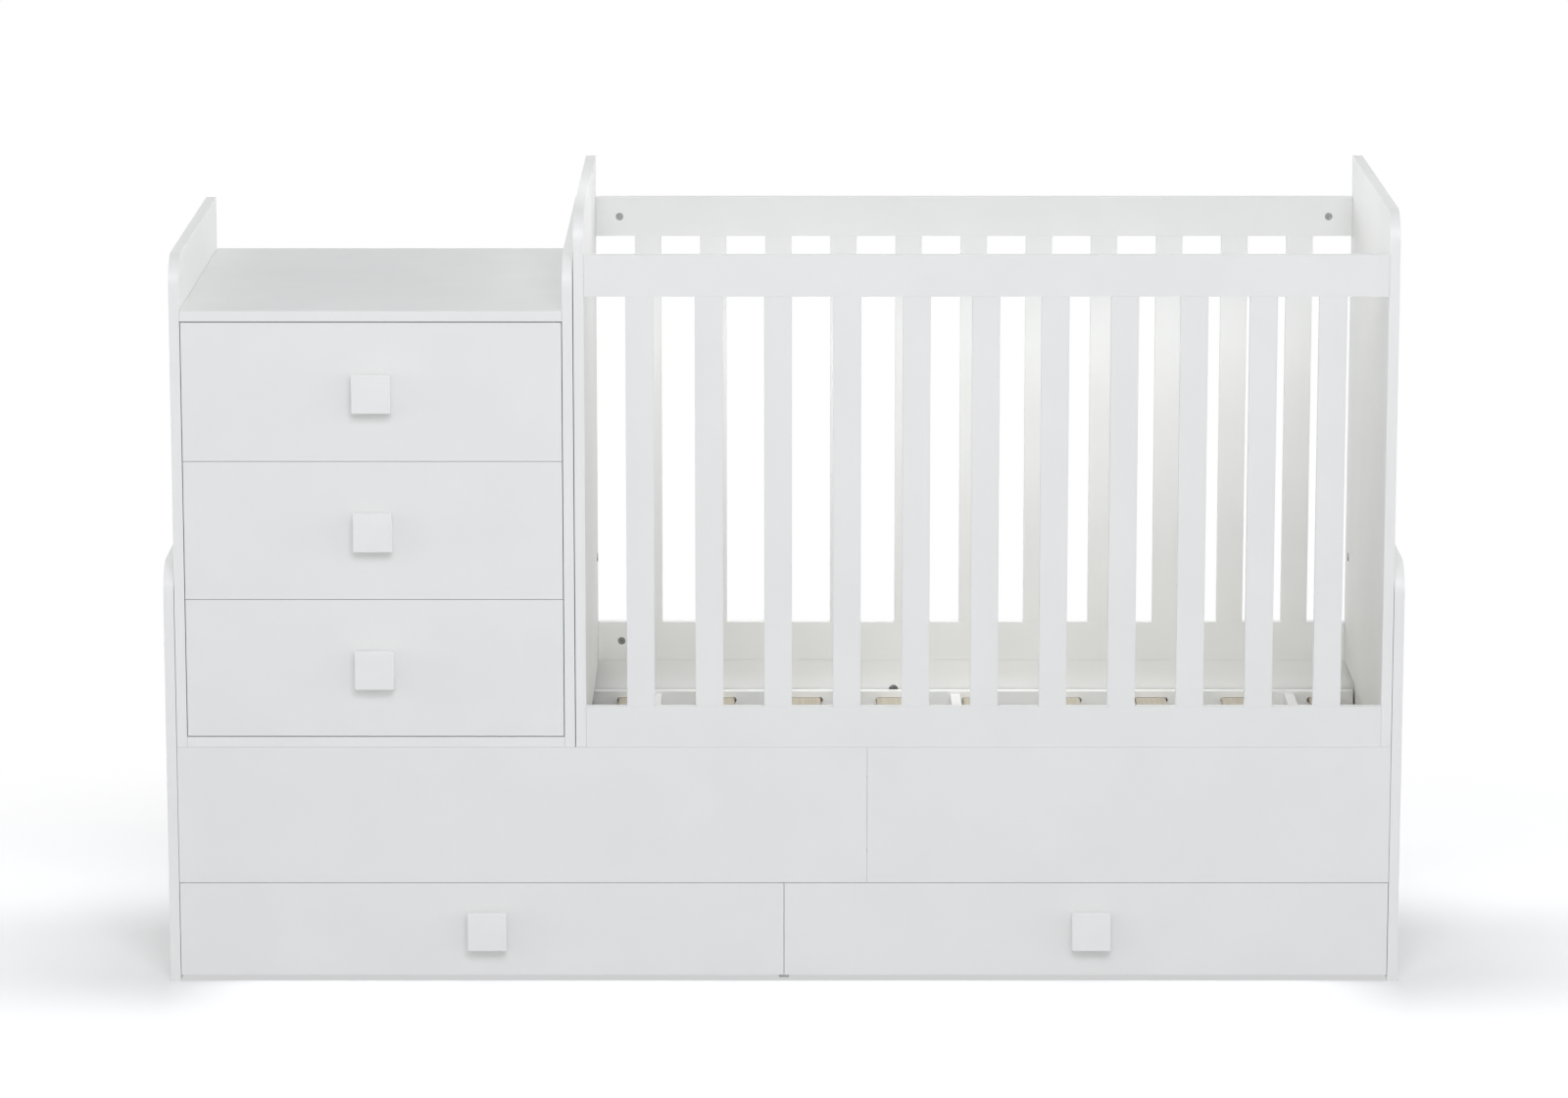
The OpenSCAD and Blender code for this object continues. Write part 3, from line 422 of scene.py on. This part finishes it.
def grown(name, geometry_tree, start_mesh=None, **sizes):
    """A plain mesh made by a tree of geometry nodes with these sizes."""
    obj = bpy.data.objects.new(name, start_mesh or bpy.data.meshes.new(name))
    scene.collection.objects.link(obj)
    grower = obj.modifiers.new("grower", "NODES")
    grower.node_group = geometry_tree
    for item in geometry_tree.interface.items_tree:
        if item.in_out == "INPUT" and item.name in sizes:
            grower[item.identifier] = sizes[item.name]
    return baked(obj)


def tree_with(name, inputs, takes_points=False):
    """An empty tree of geometry nodes with named inputs, and the node that gives their values."""
    made = bpy.data.node_groups.new(name, "GeometryNodeTree")
    if takes_points:
        made.interface.new_socket(name="Points", in_out="INPUT", socket_type="NodeSocketGeometry")
    for label, kind, value in inputs:
        socket = made.interface.new_socket(name=label, in_out="INPUT", socket_type="NodeSocket" + kind)
        socket.default_value = value
    made.interface.new_socket(name="Geometry", in_out="OUTPUT", socket_type="NodeSocketGeometry")
    return made, add(made, "NodeGroupInput")


def bar_row(name, material):
    """A row of equal straight bars with rounded long edges: First is the middle of the first bar's
    end, Along runs from there to its other end, Step leads to the next bar, and each bar lies up to
    Play aside of its place."""
    made, given = tree_with(name, [
        ("Count", "Int", 11), ("First", "Vector", (0, 0, 0)), ("Along", "Vector", (0, 0, 1)),
        ("Step", "Vector", (0.1, 0, 0)), ("Width", "Float", 0.04), ("Thickness", "Float", 0.016),
        ("Edge radius", "Float", 0.001), ("Play", "Float", 0.0), ("Seed", "Int", 2)])
    sized = given.outputs
    outline = add(made, "GeometryNodeCurvePrimitiveQuadrilateral", {
        "Width": sized["Width"], "Height": sized["Thickness"]}, mode="RECTANGLE")
    soft = add(made, "GeometryNodeFilletCurve", {
        "Curve": outline.outputs[0], "Radius": sized["Edge radius"], "Count": 4}, mode="POLY")
    spine = add(made, "GeometryNodeCurvePrimitiveLine", {"End": sized["Along"]}, mode="POINTS")
    bar = add(made, "GeometryNodeCurveToMesh", {
        "Curve": spine.outputs[0], "Profile Curve": soft.outputs[0], "Fill Caps": True})
    row = add(made, "GeometryNodeMeshLine", {
        "Count": sized["Count"], "Start Location": sized["First"], "Offset": sized["Step"]}, mode="OFFSET")
    chance = add(made, "FunctionNodeRandomValue", {"Seed": sized["Seed"]}, data_type="FLOAT")
    chance.inputs[2].default_value = -1.0
    shift = add(made, "ShaderNodeMath", {0: chance.outputs[1], 1: sized["Play"]}, operation="MULTIPLY")
    aside = add(made, "ShaderNodeCombineXYZ", {"X": shift.outputs[0]})
    loose = add(made, "GeometryNodeSetPosition", {"Geometry": row.outputs[0], "Offset": aside.outputs[0]})
    placed = add(made, "GeometryNodeInstanceOnPoints", {
        "Points": loose.outputs[0], "Instance": bar.outputs[0]})
    real = add(made, "GeometryNodeRealizeInstances", {"Geometry": placed.outputs[0]})
    coated = add(made, "GeometryNodeSetMaterial", {"Geometry": real.outputs[0], "Material": material})
    add(made, "NodeGroupOutput", {"Geometry": coated.outputs[0]})
    return made


# Birch plywood in five plies of 1.6 mm, sanded: pale face grain along the slat, and on its long
# edges the darker cross plies show as stripes
birch, tree, place = surface("birch_plywood")
slat_middle_z = (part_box("plywood_slats")[0].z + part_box("plywood_slats")[1].z) / 2
drawn = add(tree, "ShaderNodeMapping", {"Vector": place, "Scale": (1, 0.03, 1)})
face_tone = patches(tree, drawn.outputs[0], 0.0035, "#B6AE9D", "#C5BDAE", detail=4.0)
plies = add(tree, "ShaderNodeMapping", {"Vector": place, "Location": (0, 0, -slat_middle_z)})
stripes = add(tree, "ShaderNodeTexWave", {
    "Vector": plies.outputs[0], "Scale": wave_scale / 0.0032, "Distortion": 0.3, "Phase Offset": math.pi},
    bands_direction="Z")
edge_tone = add(tree, "ShaderNodeMix", {0: stripes.outputs[0], 6: linear("#9C8D75"), 7: linear("#C4B9A7")},
                data_type="RGBA")
facing = add(tree, "ShaderNodeSeparateXYZ", {0: add(tree, "ShaderNodeTexCoord").outputs["Normal"]})
upright = add(tree, "ShaderNodeMath", {0: facing.outputs["Z"]}, operation="ABSOLUTE")
on_edge = add(tree, "ShaderNodeMapRange", {"Value": upright.outputs[0], "From Min": 0.9, "From Max": 0.8})
tone = add(tree, "ShaderNodeMix", {0: on_edge.outputs[0], 6: face_tone, 7: edge_tone.outputs[2]},
           data_type="RGBA")
grain = relief(tree, 0.15, 0.0002, patches(tree, drawn.outputs[0], 0.002, 0.0, 1.0))
skinned(tree, Base_Color=tone.outputs[2], Roughness=0.6, IOR=1.45, Normal=grain)

# The slats are drawn narrower by twice their play and lie loose by it, so that the dark gap beside
# them in their slots shows, and none of them reaches the wall of its slot
slat_low, slat_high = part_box("plywood_slats")
slat_width, slat_pitch, slat_edge, slat_play = 0.053, 0.140, 0.0036, 0.0014
short_count, long_count = 4, 9
slat_tree = bar_row("slats_in_a_frame", birch)
slat_rows = []
for label, first_x, count in (
        ("short", slat_low.x + slat_width / 2, short_count),
        ("long", slat_high.x - slat_width / 2 - (long_count - 1) * slat_pitch, long_count)):
    slat_rows.append(grown(
        f"plywood_slats_{label}", slat_tree, Count=count, First=(first_x, slat_low.y, slat_middle_z),
        Along=(0, slat_high.y - slat_low.y, 0), Step=(slat_pitch, 0, 0), Width=slat_width - 2 * slat_play,
        Thickness=slat_high.z - slat_low.z, Play=slat_play, Seed=31, **{"Edge radius": slat_edge}))
for row in slat_rows:
    stands_for(row, "birch", "plywood_slats")

# ---- Batten screws ----
# Zinc-plated pan-head screws with a cross recess hold the battens to the front and back boards,
# one every 300 mm or so, the middle one beside the partition.

# Zinc plating over rolled steel: a plain grey metal, slightly clouded
zinc, tree, place = surface("zinc_plated_steel")
skinned(tree, Base_Color=patches(tree, place, 0.004, "#9E9F9E", "#B3B4B3"), Metallic=1.0,
        Roughness=patches(tree, place, 0.002, 0.38, 0.52))


def spots(name, places):
    """Bare points with the way each faces, for a tree to set a fastener on each."""
    mesh = bpy.data.meshes.new(name)
    mesh.from_pydata([place for place, _ in places], [], [])
    ways = mesh.attributes.new("way", "FLOAT_VECTOR", "POINT")
    ways.data.foreach_set("vector", [c for _, way in places for c in way])
    return mesh


def recess(made, wide, thick, deep):
    """Two crossed blades, sunk by half their height, as geometry in the tree."""
    blades = add(made, "GeometryNodeJoinGeometry")
    for turned in (False, True):
        size = add(made, "ShaderNodeCombineXYZ", {
            "X": thick if turned else wide, "Y": wide if turned else thick, "Z": deep})
        blade = add(made, "GeometryNodeMeshCube", {"Size": size.outputs[0]})
        made.links.new(blade.outputs[0], blades.inputs[0])
    return blades.outputs[0]


def set_on_spots(made, given, piece, material):
    """Sets a piece on every point, facing the point's way and turned at random about it."""
    way = add(made, "GeometryNodeInputNamedAttribute", {"Name": "way"}, data_type="FLOAT_VECTOR")
    faced = add(made, "FunctionNodeAlignRotationToVector", {"Vector": way.outputs[0]}, axis="Z")
    spin = add(made, "FunctionNodeRandomValue", {"Seed": given.outputs["Seed"]}, data_type="FLOAT")
    spin.inputs[3].default_value = math.pi
    axis = add(made, "ShaderNodeCombineXYZ", {"Z": spin.outputs[1]})
    turned = add(made, "FunctionNodeRotateRotation", {
        "Rotation": faced.outputs[0], "Rotate By": axis.outputs[0]}, rotation_space="LOCAL")
    placed = add(made, "GeometryNodeInstanceOnPoints", {
        "Points": given.outputs["Points"], "Instance": piece, "Rotation": turned.outputs[0]})
    real = add(made, "GeometryNodeRealizeInstances", {"Geometry": placed.outputs[0]})
    plated = add(made, "GeometryNodeSetMaterial", {"Geometry": real.outputs[0], "Material": material})
    add(made, "NodeGroupOutput", {"Geometry": plated.outputs[0]})


screws, given = tree_with("pan_head_screws", [
    ("Head diameter", "Float", 0.007), ("Head height", "Float", 0.002), ("Recess width", "Float", 0.004),
    ("Recess thickness", "Float", 0.0009), ("Seed", "Int", 1)], takes_points=True)
half = add(screws, "ShaderNodeMath", {0: given.outputs["Head diameter"], 1: 0.5}, operation="MULTIPLY")
ball = add(screws, "GeometryNodeMeshUVSphere", {"Segments": 14, "Rings": 8, "Radius": half.outputs[0]})
low = add(screws, "ShaderNodeMath", {0: given.outputs["Head height"], 1: half.outputs[0]}, operation="DIVIDE")
squash = add(screws, "ShaderNodeCombineXYZ", {"X": 1.0, "Y": 1.0, "Z": low.outputs[0]})
dome = add(screws, "GeometryNodeTransform", {"Geometry": ball.outputs[0], "Scale": squash.outputs[0]})
lift = add(screws, "ShaderNodeCombineXYZ", {"Z": given.outputs["Head height"]})
blades = add(screws, "GeometryNodeTransform", {
    "Geometry": recess(screws, given.outputs["Recess width"], given.outputs["Recess thickness"],
                       given.outputs["Head height"]), "Translation": lift.outputs[0]})
head = add(screws, "GeometryNodeMeshBoolean", {
    "Mesh 1": dome.outputs[0], "Mesh 2": blades.outputs[0], "Self Intersection": True},
    operation="DIFFERENCE", solver="EXACT")
set_on_spots(screws, given, head.outputs[0], zinc)


def fastened(name, body, places, slot="zinc", **sizes):
    """Screws or nails of one kind at these places, as one piece on a body."""
    obj = grown(name, screws, spots(name, places), **sizes)
    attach(obj, body)
    return obj


batten_low, batten_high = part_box("ledges")
batten, screw_inset, screw_count, beside_partition = 0.020, 0.057, 7, 0.040
screw_step = (batten_high.x - batten_low.x - 2 * screw_inset) / (screw_count - 1)
batten_spots = []
for k in range(screw_count):
    x = batten_low.x + screw_inset + k * screw_step
    x += beside_partition if k == screw_count // 2 else 0
    batten_spots.append(((x, batten_low.y + batten, batten_low.z + batten / 2), (0, 1, 0)))
    batten_spots.append(((x, batten_high.y - batten, batten_low.z + batten / 2), (0, -1, 0)))
fastened("batten_screws", "frame", batten_spots)

# ---- Barred sides ----
# Front and back side of the crib: two rails and eleven upright bars between them, white coated, the
# bars' long edges softened. Dowels hold the bars in the rails and bolts hold the rails to the ends.
bar_width, bar_edge, bar_count = 0.042, 0.0012, 11
bar_tree = bar_row("bars_in_a_side", melamine)
for side in ("front", "back"):
    for height in ("top", "bottom"):
        board(f"{side}_{height}_rail", f"crib_{side}_{height}_rail")
    low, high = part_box(f"crib_{side}_bars")
    bars = grown(f"{side}_side_bars", bar_tree, Count=bar_count,
                 First=(low.x + bar_width / 2, (low.y + high.y) / 2, low.z), Along=(0, 0, high.z - low.z),
                 Step=((high.x - low.x - bar_width) / (bar_count - 1), 0, 0), Width=bar_width,
                 Thickness=high.y - low.y, **{"Edge radius": bar_edge})
    stands_for(bars, "white_board", f"crib_{side}_bars")

# ---- Bolts, barrel nuts, cams and connectors ----
# The knock-down fittings: hex-socket bolts and barrel nuts at the rail ends, die-cast cams in the
# base and chest boards, and screw and sleeve pairs between the units. All but the bolts have a
# cross recess for the driver.

# Die-cast zinc alloy, tumbled: a dull mid grey metal with a cloudy skin
die_cast, tree, place = surface("die_cast_zinc")
skinned(tree, Base_Color=patches(tree, place, 0.003, "#7A7C7E", "#909192"), Metallic=1.0,
        Roughness=patches(tree, place, 0.001, 0.42, 0.58))

cutters, given = tree_with("driver_recesses", [
    ("Wide", "Float", 0.008), ("Thick", "Float", 0.0015), ("Deep", "Float", 0.003), ("Seed", "Int", 3)],
    takes_points=True)
set_on_spots(cutters, given, recess(cutters, *(given.outputs[k] for k in ("Wide", "Thick", "Deep"))), zinc)


def fitting(name, node, material, places, ease, slot="zinc", play=0.0, **sizes):
    """A copy of the CAD fittings with softened edges and a driver's recess at each place; those that
    are round about the depth axis are drawn slimmer in radius by play."""
    obj, solids = merged(name, node)
    for faces, low, high in solids:
        size, middle = high - low, (low + high) / 2
        if play and abs(size.x - size.z) < touching:
            for k in {v for face in faces for v in obj.data.polygons[face].vertices}:
                point = obj.data.vertices[k].co
                for axis in (0, 2):
                    point[axis] -= (point[axis] - middle[axis]) * play / (size.x / 2)
    finished(obj, material)
    cutter = grown(name + "_cutter", cutters, spots(name + "_cutter", places), **sizes)
    cut = obj.modifiers.new("recess", "BOOLEAN")
    cut.object, cut.operation, cut.solver = cutter, "DIFFERENCE", "EXACT"
    cut.use_self = True
    baked(obj)
    bpy.data.objects.remove(cutter)
    finished(obj, material)
    for face in obj.data.polygons:
        face.material_index = 0
    return stands_for(eased(obj, ease), slot, node)


def solids_of(node):
    """The lowest and highest corner of each solid in a CAD node."""
    obj, solids = merged("measured", node)
    bpy.data.objects.remove(obj)
    return [(low, high) for _, low, high in solids]


def discs(node, diameter, slack=0.0006):
    """Axis number, lowest and highest corner, and middle of every round solid of this diameter in a
    node, from left to right."""
    found = []
    for low, high in solids_of(node):
        size, middle = high - low, (low + high) / 2
        wide = [abs(size[k] - diameter) < slack for k in range(3)]
        if sum(wide) == 2:
            found.append((wide.index(False), low, high, middle))
    return sorted(found, key=lambda disc: tuple(disc[3]))


# The barrel nuts are drawn this much slimmer, so that the dark ring of their bores shows
nut_play = 0.0007
rail_y = (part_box("crib_front_top_rail")[1].y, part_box("crib_back_top_rail")[0].y)
nut_spots = []
for along, low, high, middle in discs("crib_bolts", 0.012):
    if along == 1:
        front = middle.y < 0
        nut_spots.append(((middle.x, rail_y[0] if front else rail_y[1], middle.z),
                          (0, 1 if front else -1, 0)))
fitting("crib_bolts_and_nuts", "crib_bolts", zinc, nut_spots, 0.0003, play=nut_play, Wide=0.0070,
        Thick=0.0016, Deep=0.004)

cam_spots = []
for along, low, high, middle in discs("cam_locks", 0.0148):
    if along == 1:
        front = middle.y < 0
        cam_spots.append(((middle.x, high.y if front else low.y, middle.z), (0, 1 if front else -1, 0)))
    else:
        cam_spots.append(((middle.x, middle.y, low.z), (0, 0, -1)))
fitting("cams_and_pins", "cam_locks", die_cast, cam_spots, 0.0004, Wide=0.0075, Thick=0.0020, Deep=0.005)

connector_spots = []
for k, (low, high) in enumerate(sorted(solids_of("unit_connectors"), key=lambda corners: corners[0].x)):
    screw = k % 2 == 0
    x = low.x if screw else high.x
    connector_spots.append(((x, (low.y + high.y) / 2, (low.z + high.z) / 2), (-1 if screw else 1, 0, 0)))
fitting("unit_connector_pairs", "unit_connectors", zinc, connector_spots, 0.0005, Wide=0.0062, Thick=0.0013,
        Deep=0.0024)
frame["nodes"]["bar_dowels"].material_slots[0].material = birch

# ---- Changing chest body ----
# Top with the changing surface and bottom, both coated board set between the sides, and a
# hardboard back nailed into the sides' rebates and onto the bottom: lacquered white inside, raw
# fibre outside.
board("changing_top", "chest_top")
board("chest_bottom_board", "chest_bottom")

# Hardboard lacquered white on one face; the raw side is brown pressed fibre with a woven wire print
# about 1 mm wide, drawn 3 mm wide, so that it shows
hardboard, tree, place = surface("lacquered_hardboard")
facing = add(tree, "ShaderNodeSeparateXYZ", {0: add(tree, "ShaderNodeTexCoord").outputs["Normal"]})
raw = add(tree, "ShaderNodeMapRange", {"Value": facing.outputs["Y"], "From Min": 0.4, "From Max": 0.6})
under = add(tree, "ShaderNodeMapRange", {"Value": facing.outputs["Z"], "From Min": -0.4, "From Max": -0.6})
outside = add(tree, "ShaderNodeMath", {0: raw.outputs[0], 1: under.outputs[0]}, operation="MAXIMUM")
fibre = add(tree, "ShaderNodeMix", {
    0: patches(tree, place, 0.08, 0.0, 0.55, detail=4.0),
    6: patches(tree, place, 0.0015, "#7F6248", "#A08062", detail=3.0),
    7: patches(tree, place, 0.0015, "#8E7054", "#B09273", detail=3.0)}, data_type="RGBA").outputs[2]
tone = add(tree, "ShaderNodeMix", {0: outside.outputs[0], 6: patches(tree, place, 0.1, "#DDDEDD", "#E3E4E3"),
                                   7: fibre}, data_type="RGBA")
print_height = patches(tree, place, 0.003, 0.0, 1.0, detail=0.0)
rough = add(tree, "ShaderNodeMapRange", {"Value": outside.outputs[0], "To Min": 0.38, "To Max": 0.85})
wire_print = relief(tree, 0.2, 0.0003, print_height)
skinned(tree, Base_Color=tone.outputs[2], Roughness=rough.outputs[0], IOR=1.5, Normal=wire_print)
stands_for(eased(finished(merged("chest_back_sheet", "chest_back")[0], hardboard), 0.0003), "hardboard",
           "chest_back")

# Flat nail heads, with the small cross mark that the screws' tree gives them
back_low, back_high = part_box("chest_back")
side_nails, low_nails = 8, 4
nail_end, nail_side, nail_low = 0.03, 0.0035, 0.008
nail_spots = []
for k in range(side_nails):
    z = back_low.z + nail_end + k * (back_high.z - back_low.z - 2 * nail_end) / (side_nails - 1)
    for x in (back_low.x + nail_side, back_high.x - nail_side):
        nail_spots.append(((x, back_high.y, z), (0, 1, 0)))
for k in range(1, low_nails + 1):
    x = back_low.x + k * (back_high.x - back_low.x) / (low_nails + 1)
    nail_spots.append(((x, back_high.y, back_low.z + nail_low), (0, 1, 0)))
fastened("chest_back_nails", "frame", nail_spots, **{"Head diameter": 0.0045, "Head height": 0.0006,
                                                     "Recess width": 0.0018, "Recess thickness": 0.0005})

# ---- Runners ----
# Roller runners of cold-rolled steel: a C section screwed to the chest side with a nylon roller in
# front, and a Z section under the drawer's side with a nylon roller at the back.

# Powder-coated steel: matt white with the fine orange-peel of the baked powder, 2 mm wide
powder_coat, tree, place = surface("white_powder_coated_steel")
peel = relief(tree, 0.15, 0.0002, patches(tree, place, 0.002, 0.0, 1.0, detail=1.0))
skinned(tree, Base_Color=patches(tree, place, 0.03, "#DCDDDB", "#E2E3E1"),
        Roughness=patches(tree, place, 0.01, 0.48, 0.58), IOR=1.5, Normal=peel)

# Injection-moulded nylon: milky white, soft gloss, a little light goes into it
nylon, tree, place = surface("natural_nylon")
skinned(tree, Base_Color=patches(tree, place, 0.004, "#E6E4DB", "#EDECE4"),
        Roughness=patches(tree, place, 0.002, 0.32, 0.42), IOR=1.53, Subsurface_Weight=0.15,
        Subsurface_Scale=0.002)

bottom_low, bottom_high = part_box("chest_bottom")
front_y = bottom_low.y
runner_web, steel, screw_line = 0.0113, 0.0012, 0.0093
cabinet_depths, drawer_depths = (0.075, 0.270, 0.465), (0.045, 0.240, 0.430)
frame["nodes"]["chest_runners"].material_slots[0].material = powder_coat
cabinet_spots = []
for level in ("low", "middle", "top"):
    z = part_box(f"{level}_drawer_box")[0].z + screw_line
    drawer_spots = []
    for x, way in ((bottom_low.x, 1), (bottom_high.x, -1)):
        for depth in cabinet_depths:
            cabinet_spots.append(((x + way * steel, front_y + depth, z), (way, 0, 0)))
        for depth in drawer_depths:
            drawer_spots.append(((x + way * runner_web, front_y + depth, z), (-way, 0, 0)))
    fastened(f"{level}_runner_screws", f"{level}_drawer", drawer_spots,
             **{"Head diameter": 0.006, "Head height": 0.0012, "Seed": 5})
    frame["nodes"][f"{level}_drawer_runners"].material_slots[0].material = powder_coat
    frame["nodes"][f"{level}_cabinet_rollers"].material_slots[0].material = nylon
    frame["nodes"][f"{level}_drawer_rollers"].material_slots[0].material = nylon
fastened("cabinet_runner_screws", "frame", cabinet_spots,
         **{"Head diameter": 0.0065, "Head height": 0.0014, "Seed": 4})

# ---- Drawers ----
# Chest drawers: coated front, 16 mm sides and back screwed together, hardboard bottom in a groove.
# Base drawers: the same, but their bottom is board, lies between the sides and carries the castors.
# Each front carries one square knob on a screw.
bed_sides = ("left", "right")
drawers = [f"{level}_drawer" for level in ("low", "middle", "top")]
drawers += [f"{side}_bed_drawer" for side in bed_sides]

# The fronts are drawn this much larger than the solids, which keep the room that they need to run:
# chest fronts up and down and at their sides, base fronts where they meet and on their other sides
grow_chest, grow_side, grow_inward, grow_wide = 0.0007, 0.0011, 0.0006, 0.0012

# White lacquer sprayed on milled MDF: smooth and a little glossier than the boards
lacquer, tree, place = surface("white_lacquered_mdf")
skinned(tree, Base_Color=patches(tree, place, 0.03, "#F0F0EE", "#F2F2F0"),
        Roughness=patches(tree, place, 0.015, 0.30, 0.38), IOR=1.5)


def rounded_square(half, corner):
    """Points of a square with rounded corners, counter-clockwise as seen from the front."""
    steps, points = 6, []
    for quarter in range(4):
        a = quarter * math.pi / 2
        cx, cz = [(half - corner) * (1 if side > 0 else -1)
                  for side in (math.cos(a + math.pi / 4), math.sin(a + math.pi / 4))]
        for k in range(steps + 1):
            b = a + k * math.pi / 2 / steps
            points.append((cx + corner * math.cos(b), cz + corner * math.sin(b)))
    return points


def knob(name, node, middle):
    """A tapered square knob: narrow neck on the drawer front, straight rim, softened face."""
    half, neck, out, rim, soft, corner = 0.0295, 0.0190, 0.0220, 0.0120, 0.0012, 0.0022
    # Each section: how far out it lies, half its width, and the radius of its corners
    sections = [(0.0, neck, corner * 0.8), (-(out - rim) / 2, (neck + half) / 2, corner * 0.9),
                (-(out - rim), half, corner)]
    for a in (math.radians(15 * k) for k in range(7)):
        sections.append((-out + soft - soft * math.sin(a), half - soft + soft * math.cos(a),
                         corner - soft * 0.4 * math.sin(a)))
    shape = bmesh.new()
    rings = []
    for y, size, turn in sections:
        rings.append([shape.verts.new((middle[0] + x, middle[1] + y, middle[2] + z))
                      for x, z in rounded_square(size, turn)])
    for lower, upper in zip(rings, rings[1:]):
        for k in range(len(lower)):
            shape.faces.new((lower[k], upper[k], upper[k - 1], lower[k - 1]))
    shape.faces.new(rings[0])
    shape.faces.new(list(reversed(rings[-1])))
    bmesh.ops.recalc_face_normals(shape, faces=shape.faces)
    mesh = bpy.data.meshes.new(name)
    shape.to_mesh(mesh)
    shape.free()
    for face in mesh.polygons:
        face.use_smooth = True
    mesh.set_sharp_from_angle(angle=math.radians(30))
    obj = bpy.data.objects.new(name, mesh)
    scene.collection.objects.link(obj)
    return stands_for(finished(obj, lacquer), "white_board", node)


box_screw_top, box_screw_back, box_screw_low, box_screw_low_wide = 0.025, 0.008, 0.045, 0.030
for name in drawers:
    wide = "bed" in name
    wider, taller = (grow_side, grow_side), grow_chest
    if wide:
        wider, taller = (grow_wide, grow_inward) if "left" in name else (grow_inward, grow_wide), grow_wide
    board(f"{name}_front_board", f"{name}_front", wider=wider, taller=taller, ease=0.0005)
    board(f"{name}_box_boards", f"{name}_box", thin=hardboard, slot="white_inner")
    low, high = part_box(f"{name}_knob")
    middle_x, middle_z = (low.x + high.x) / 2, (low.z + high.z) / 2
    face_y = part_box(f"{name}_front")[0].y
    knob(f"{name}_square_knob", f"{name}_knob", (middle_x, face_y, middle_z))
    inside_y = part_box(f"{name}_front")[1].y
    stands_for(fastened(f"{name}_knob_screw", name, [((middle_x, inside_y, middle_z), (0, 1, 0))],
                        **{"Head diameter": 0.008, "Head height": 0.002}), "zinc", f"{name}_knob")
    low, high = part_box(f"{name}_box")
    corner_spots = []
    for x, way in ((low.x, -1), (high.x, 1)):
        for z in (low.z + (box_screw_low_wide if wide else box_screw_low), high.z - box_screw_top):
            corner_spots.append(((x, high.y - box_screw_back, z), (way, 0, 0)))
    fastened(f"{name}_box_screws", name, corner_spots,
             **{"Head diameter": 0.007, "Head height": 0.001, "Seed": 7})

# ---- Castors ----
# Four fixed castors under each base drawer: a pressed zinc-plated bracket held by four screws, and a
# grey plastic wheel that turns on a riveted axle.

# Moulded polypropylene in mid grey: satin, slightly scuffed
wheel_plastic, tree, place = surface("grey_polypropylene")
skinned(tree, Base_Color=patches(tree, place, 0.006, "#6E7073", "#7C7E81"),
        Roughness=patches(tree, place, 0.003, 0.42, 0.60), IOR=1.49)

plate, sheet, off = 0.040, 0.0015, 0.0140
for side in bed_sides:
    frame["nodes"][f"{side}_bed_drawer_castors"].material_slots[0].material = zinc
    low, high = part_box(f"{side}_bed_drawer_castors")
    plate_spots = []
    for x in (low.x + plate / 2, high.x - plate / 2):
        for y in (low.y + plate / 2, high.y - plate / 2):
            for dx in (-off, off):
                for dy in (-off, off):
                    plate_spots.append(((x + dx, y + dy, high.z - sheet), (0, 0, -1)))
    fastened(f"{side}_castor_screws", f"{side}_bed_drawer", plate_spots,
             **{"Head diameter": 0.006, "Head height": 0.0014, "Seed": 9})
    for end in ("front", "rear"):
        frame["nodes"][f"{side}_{end}_wheels"].material_slots[0].material = wheel_plastic
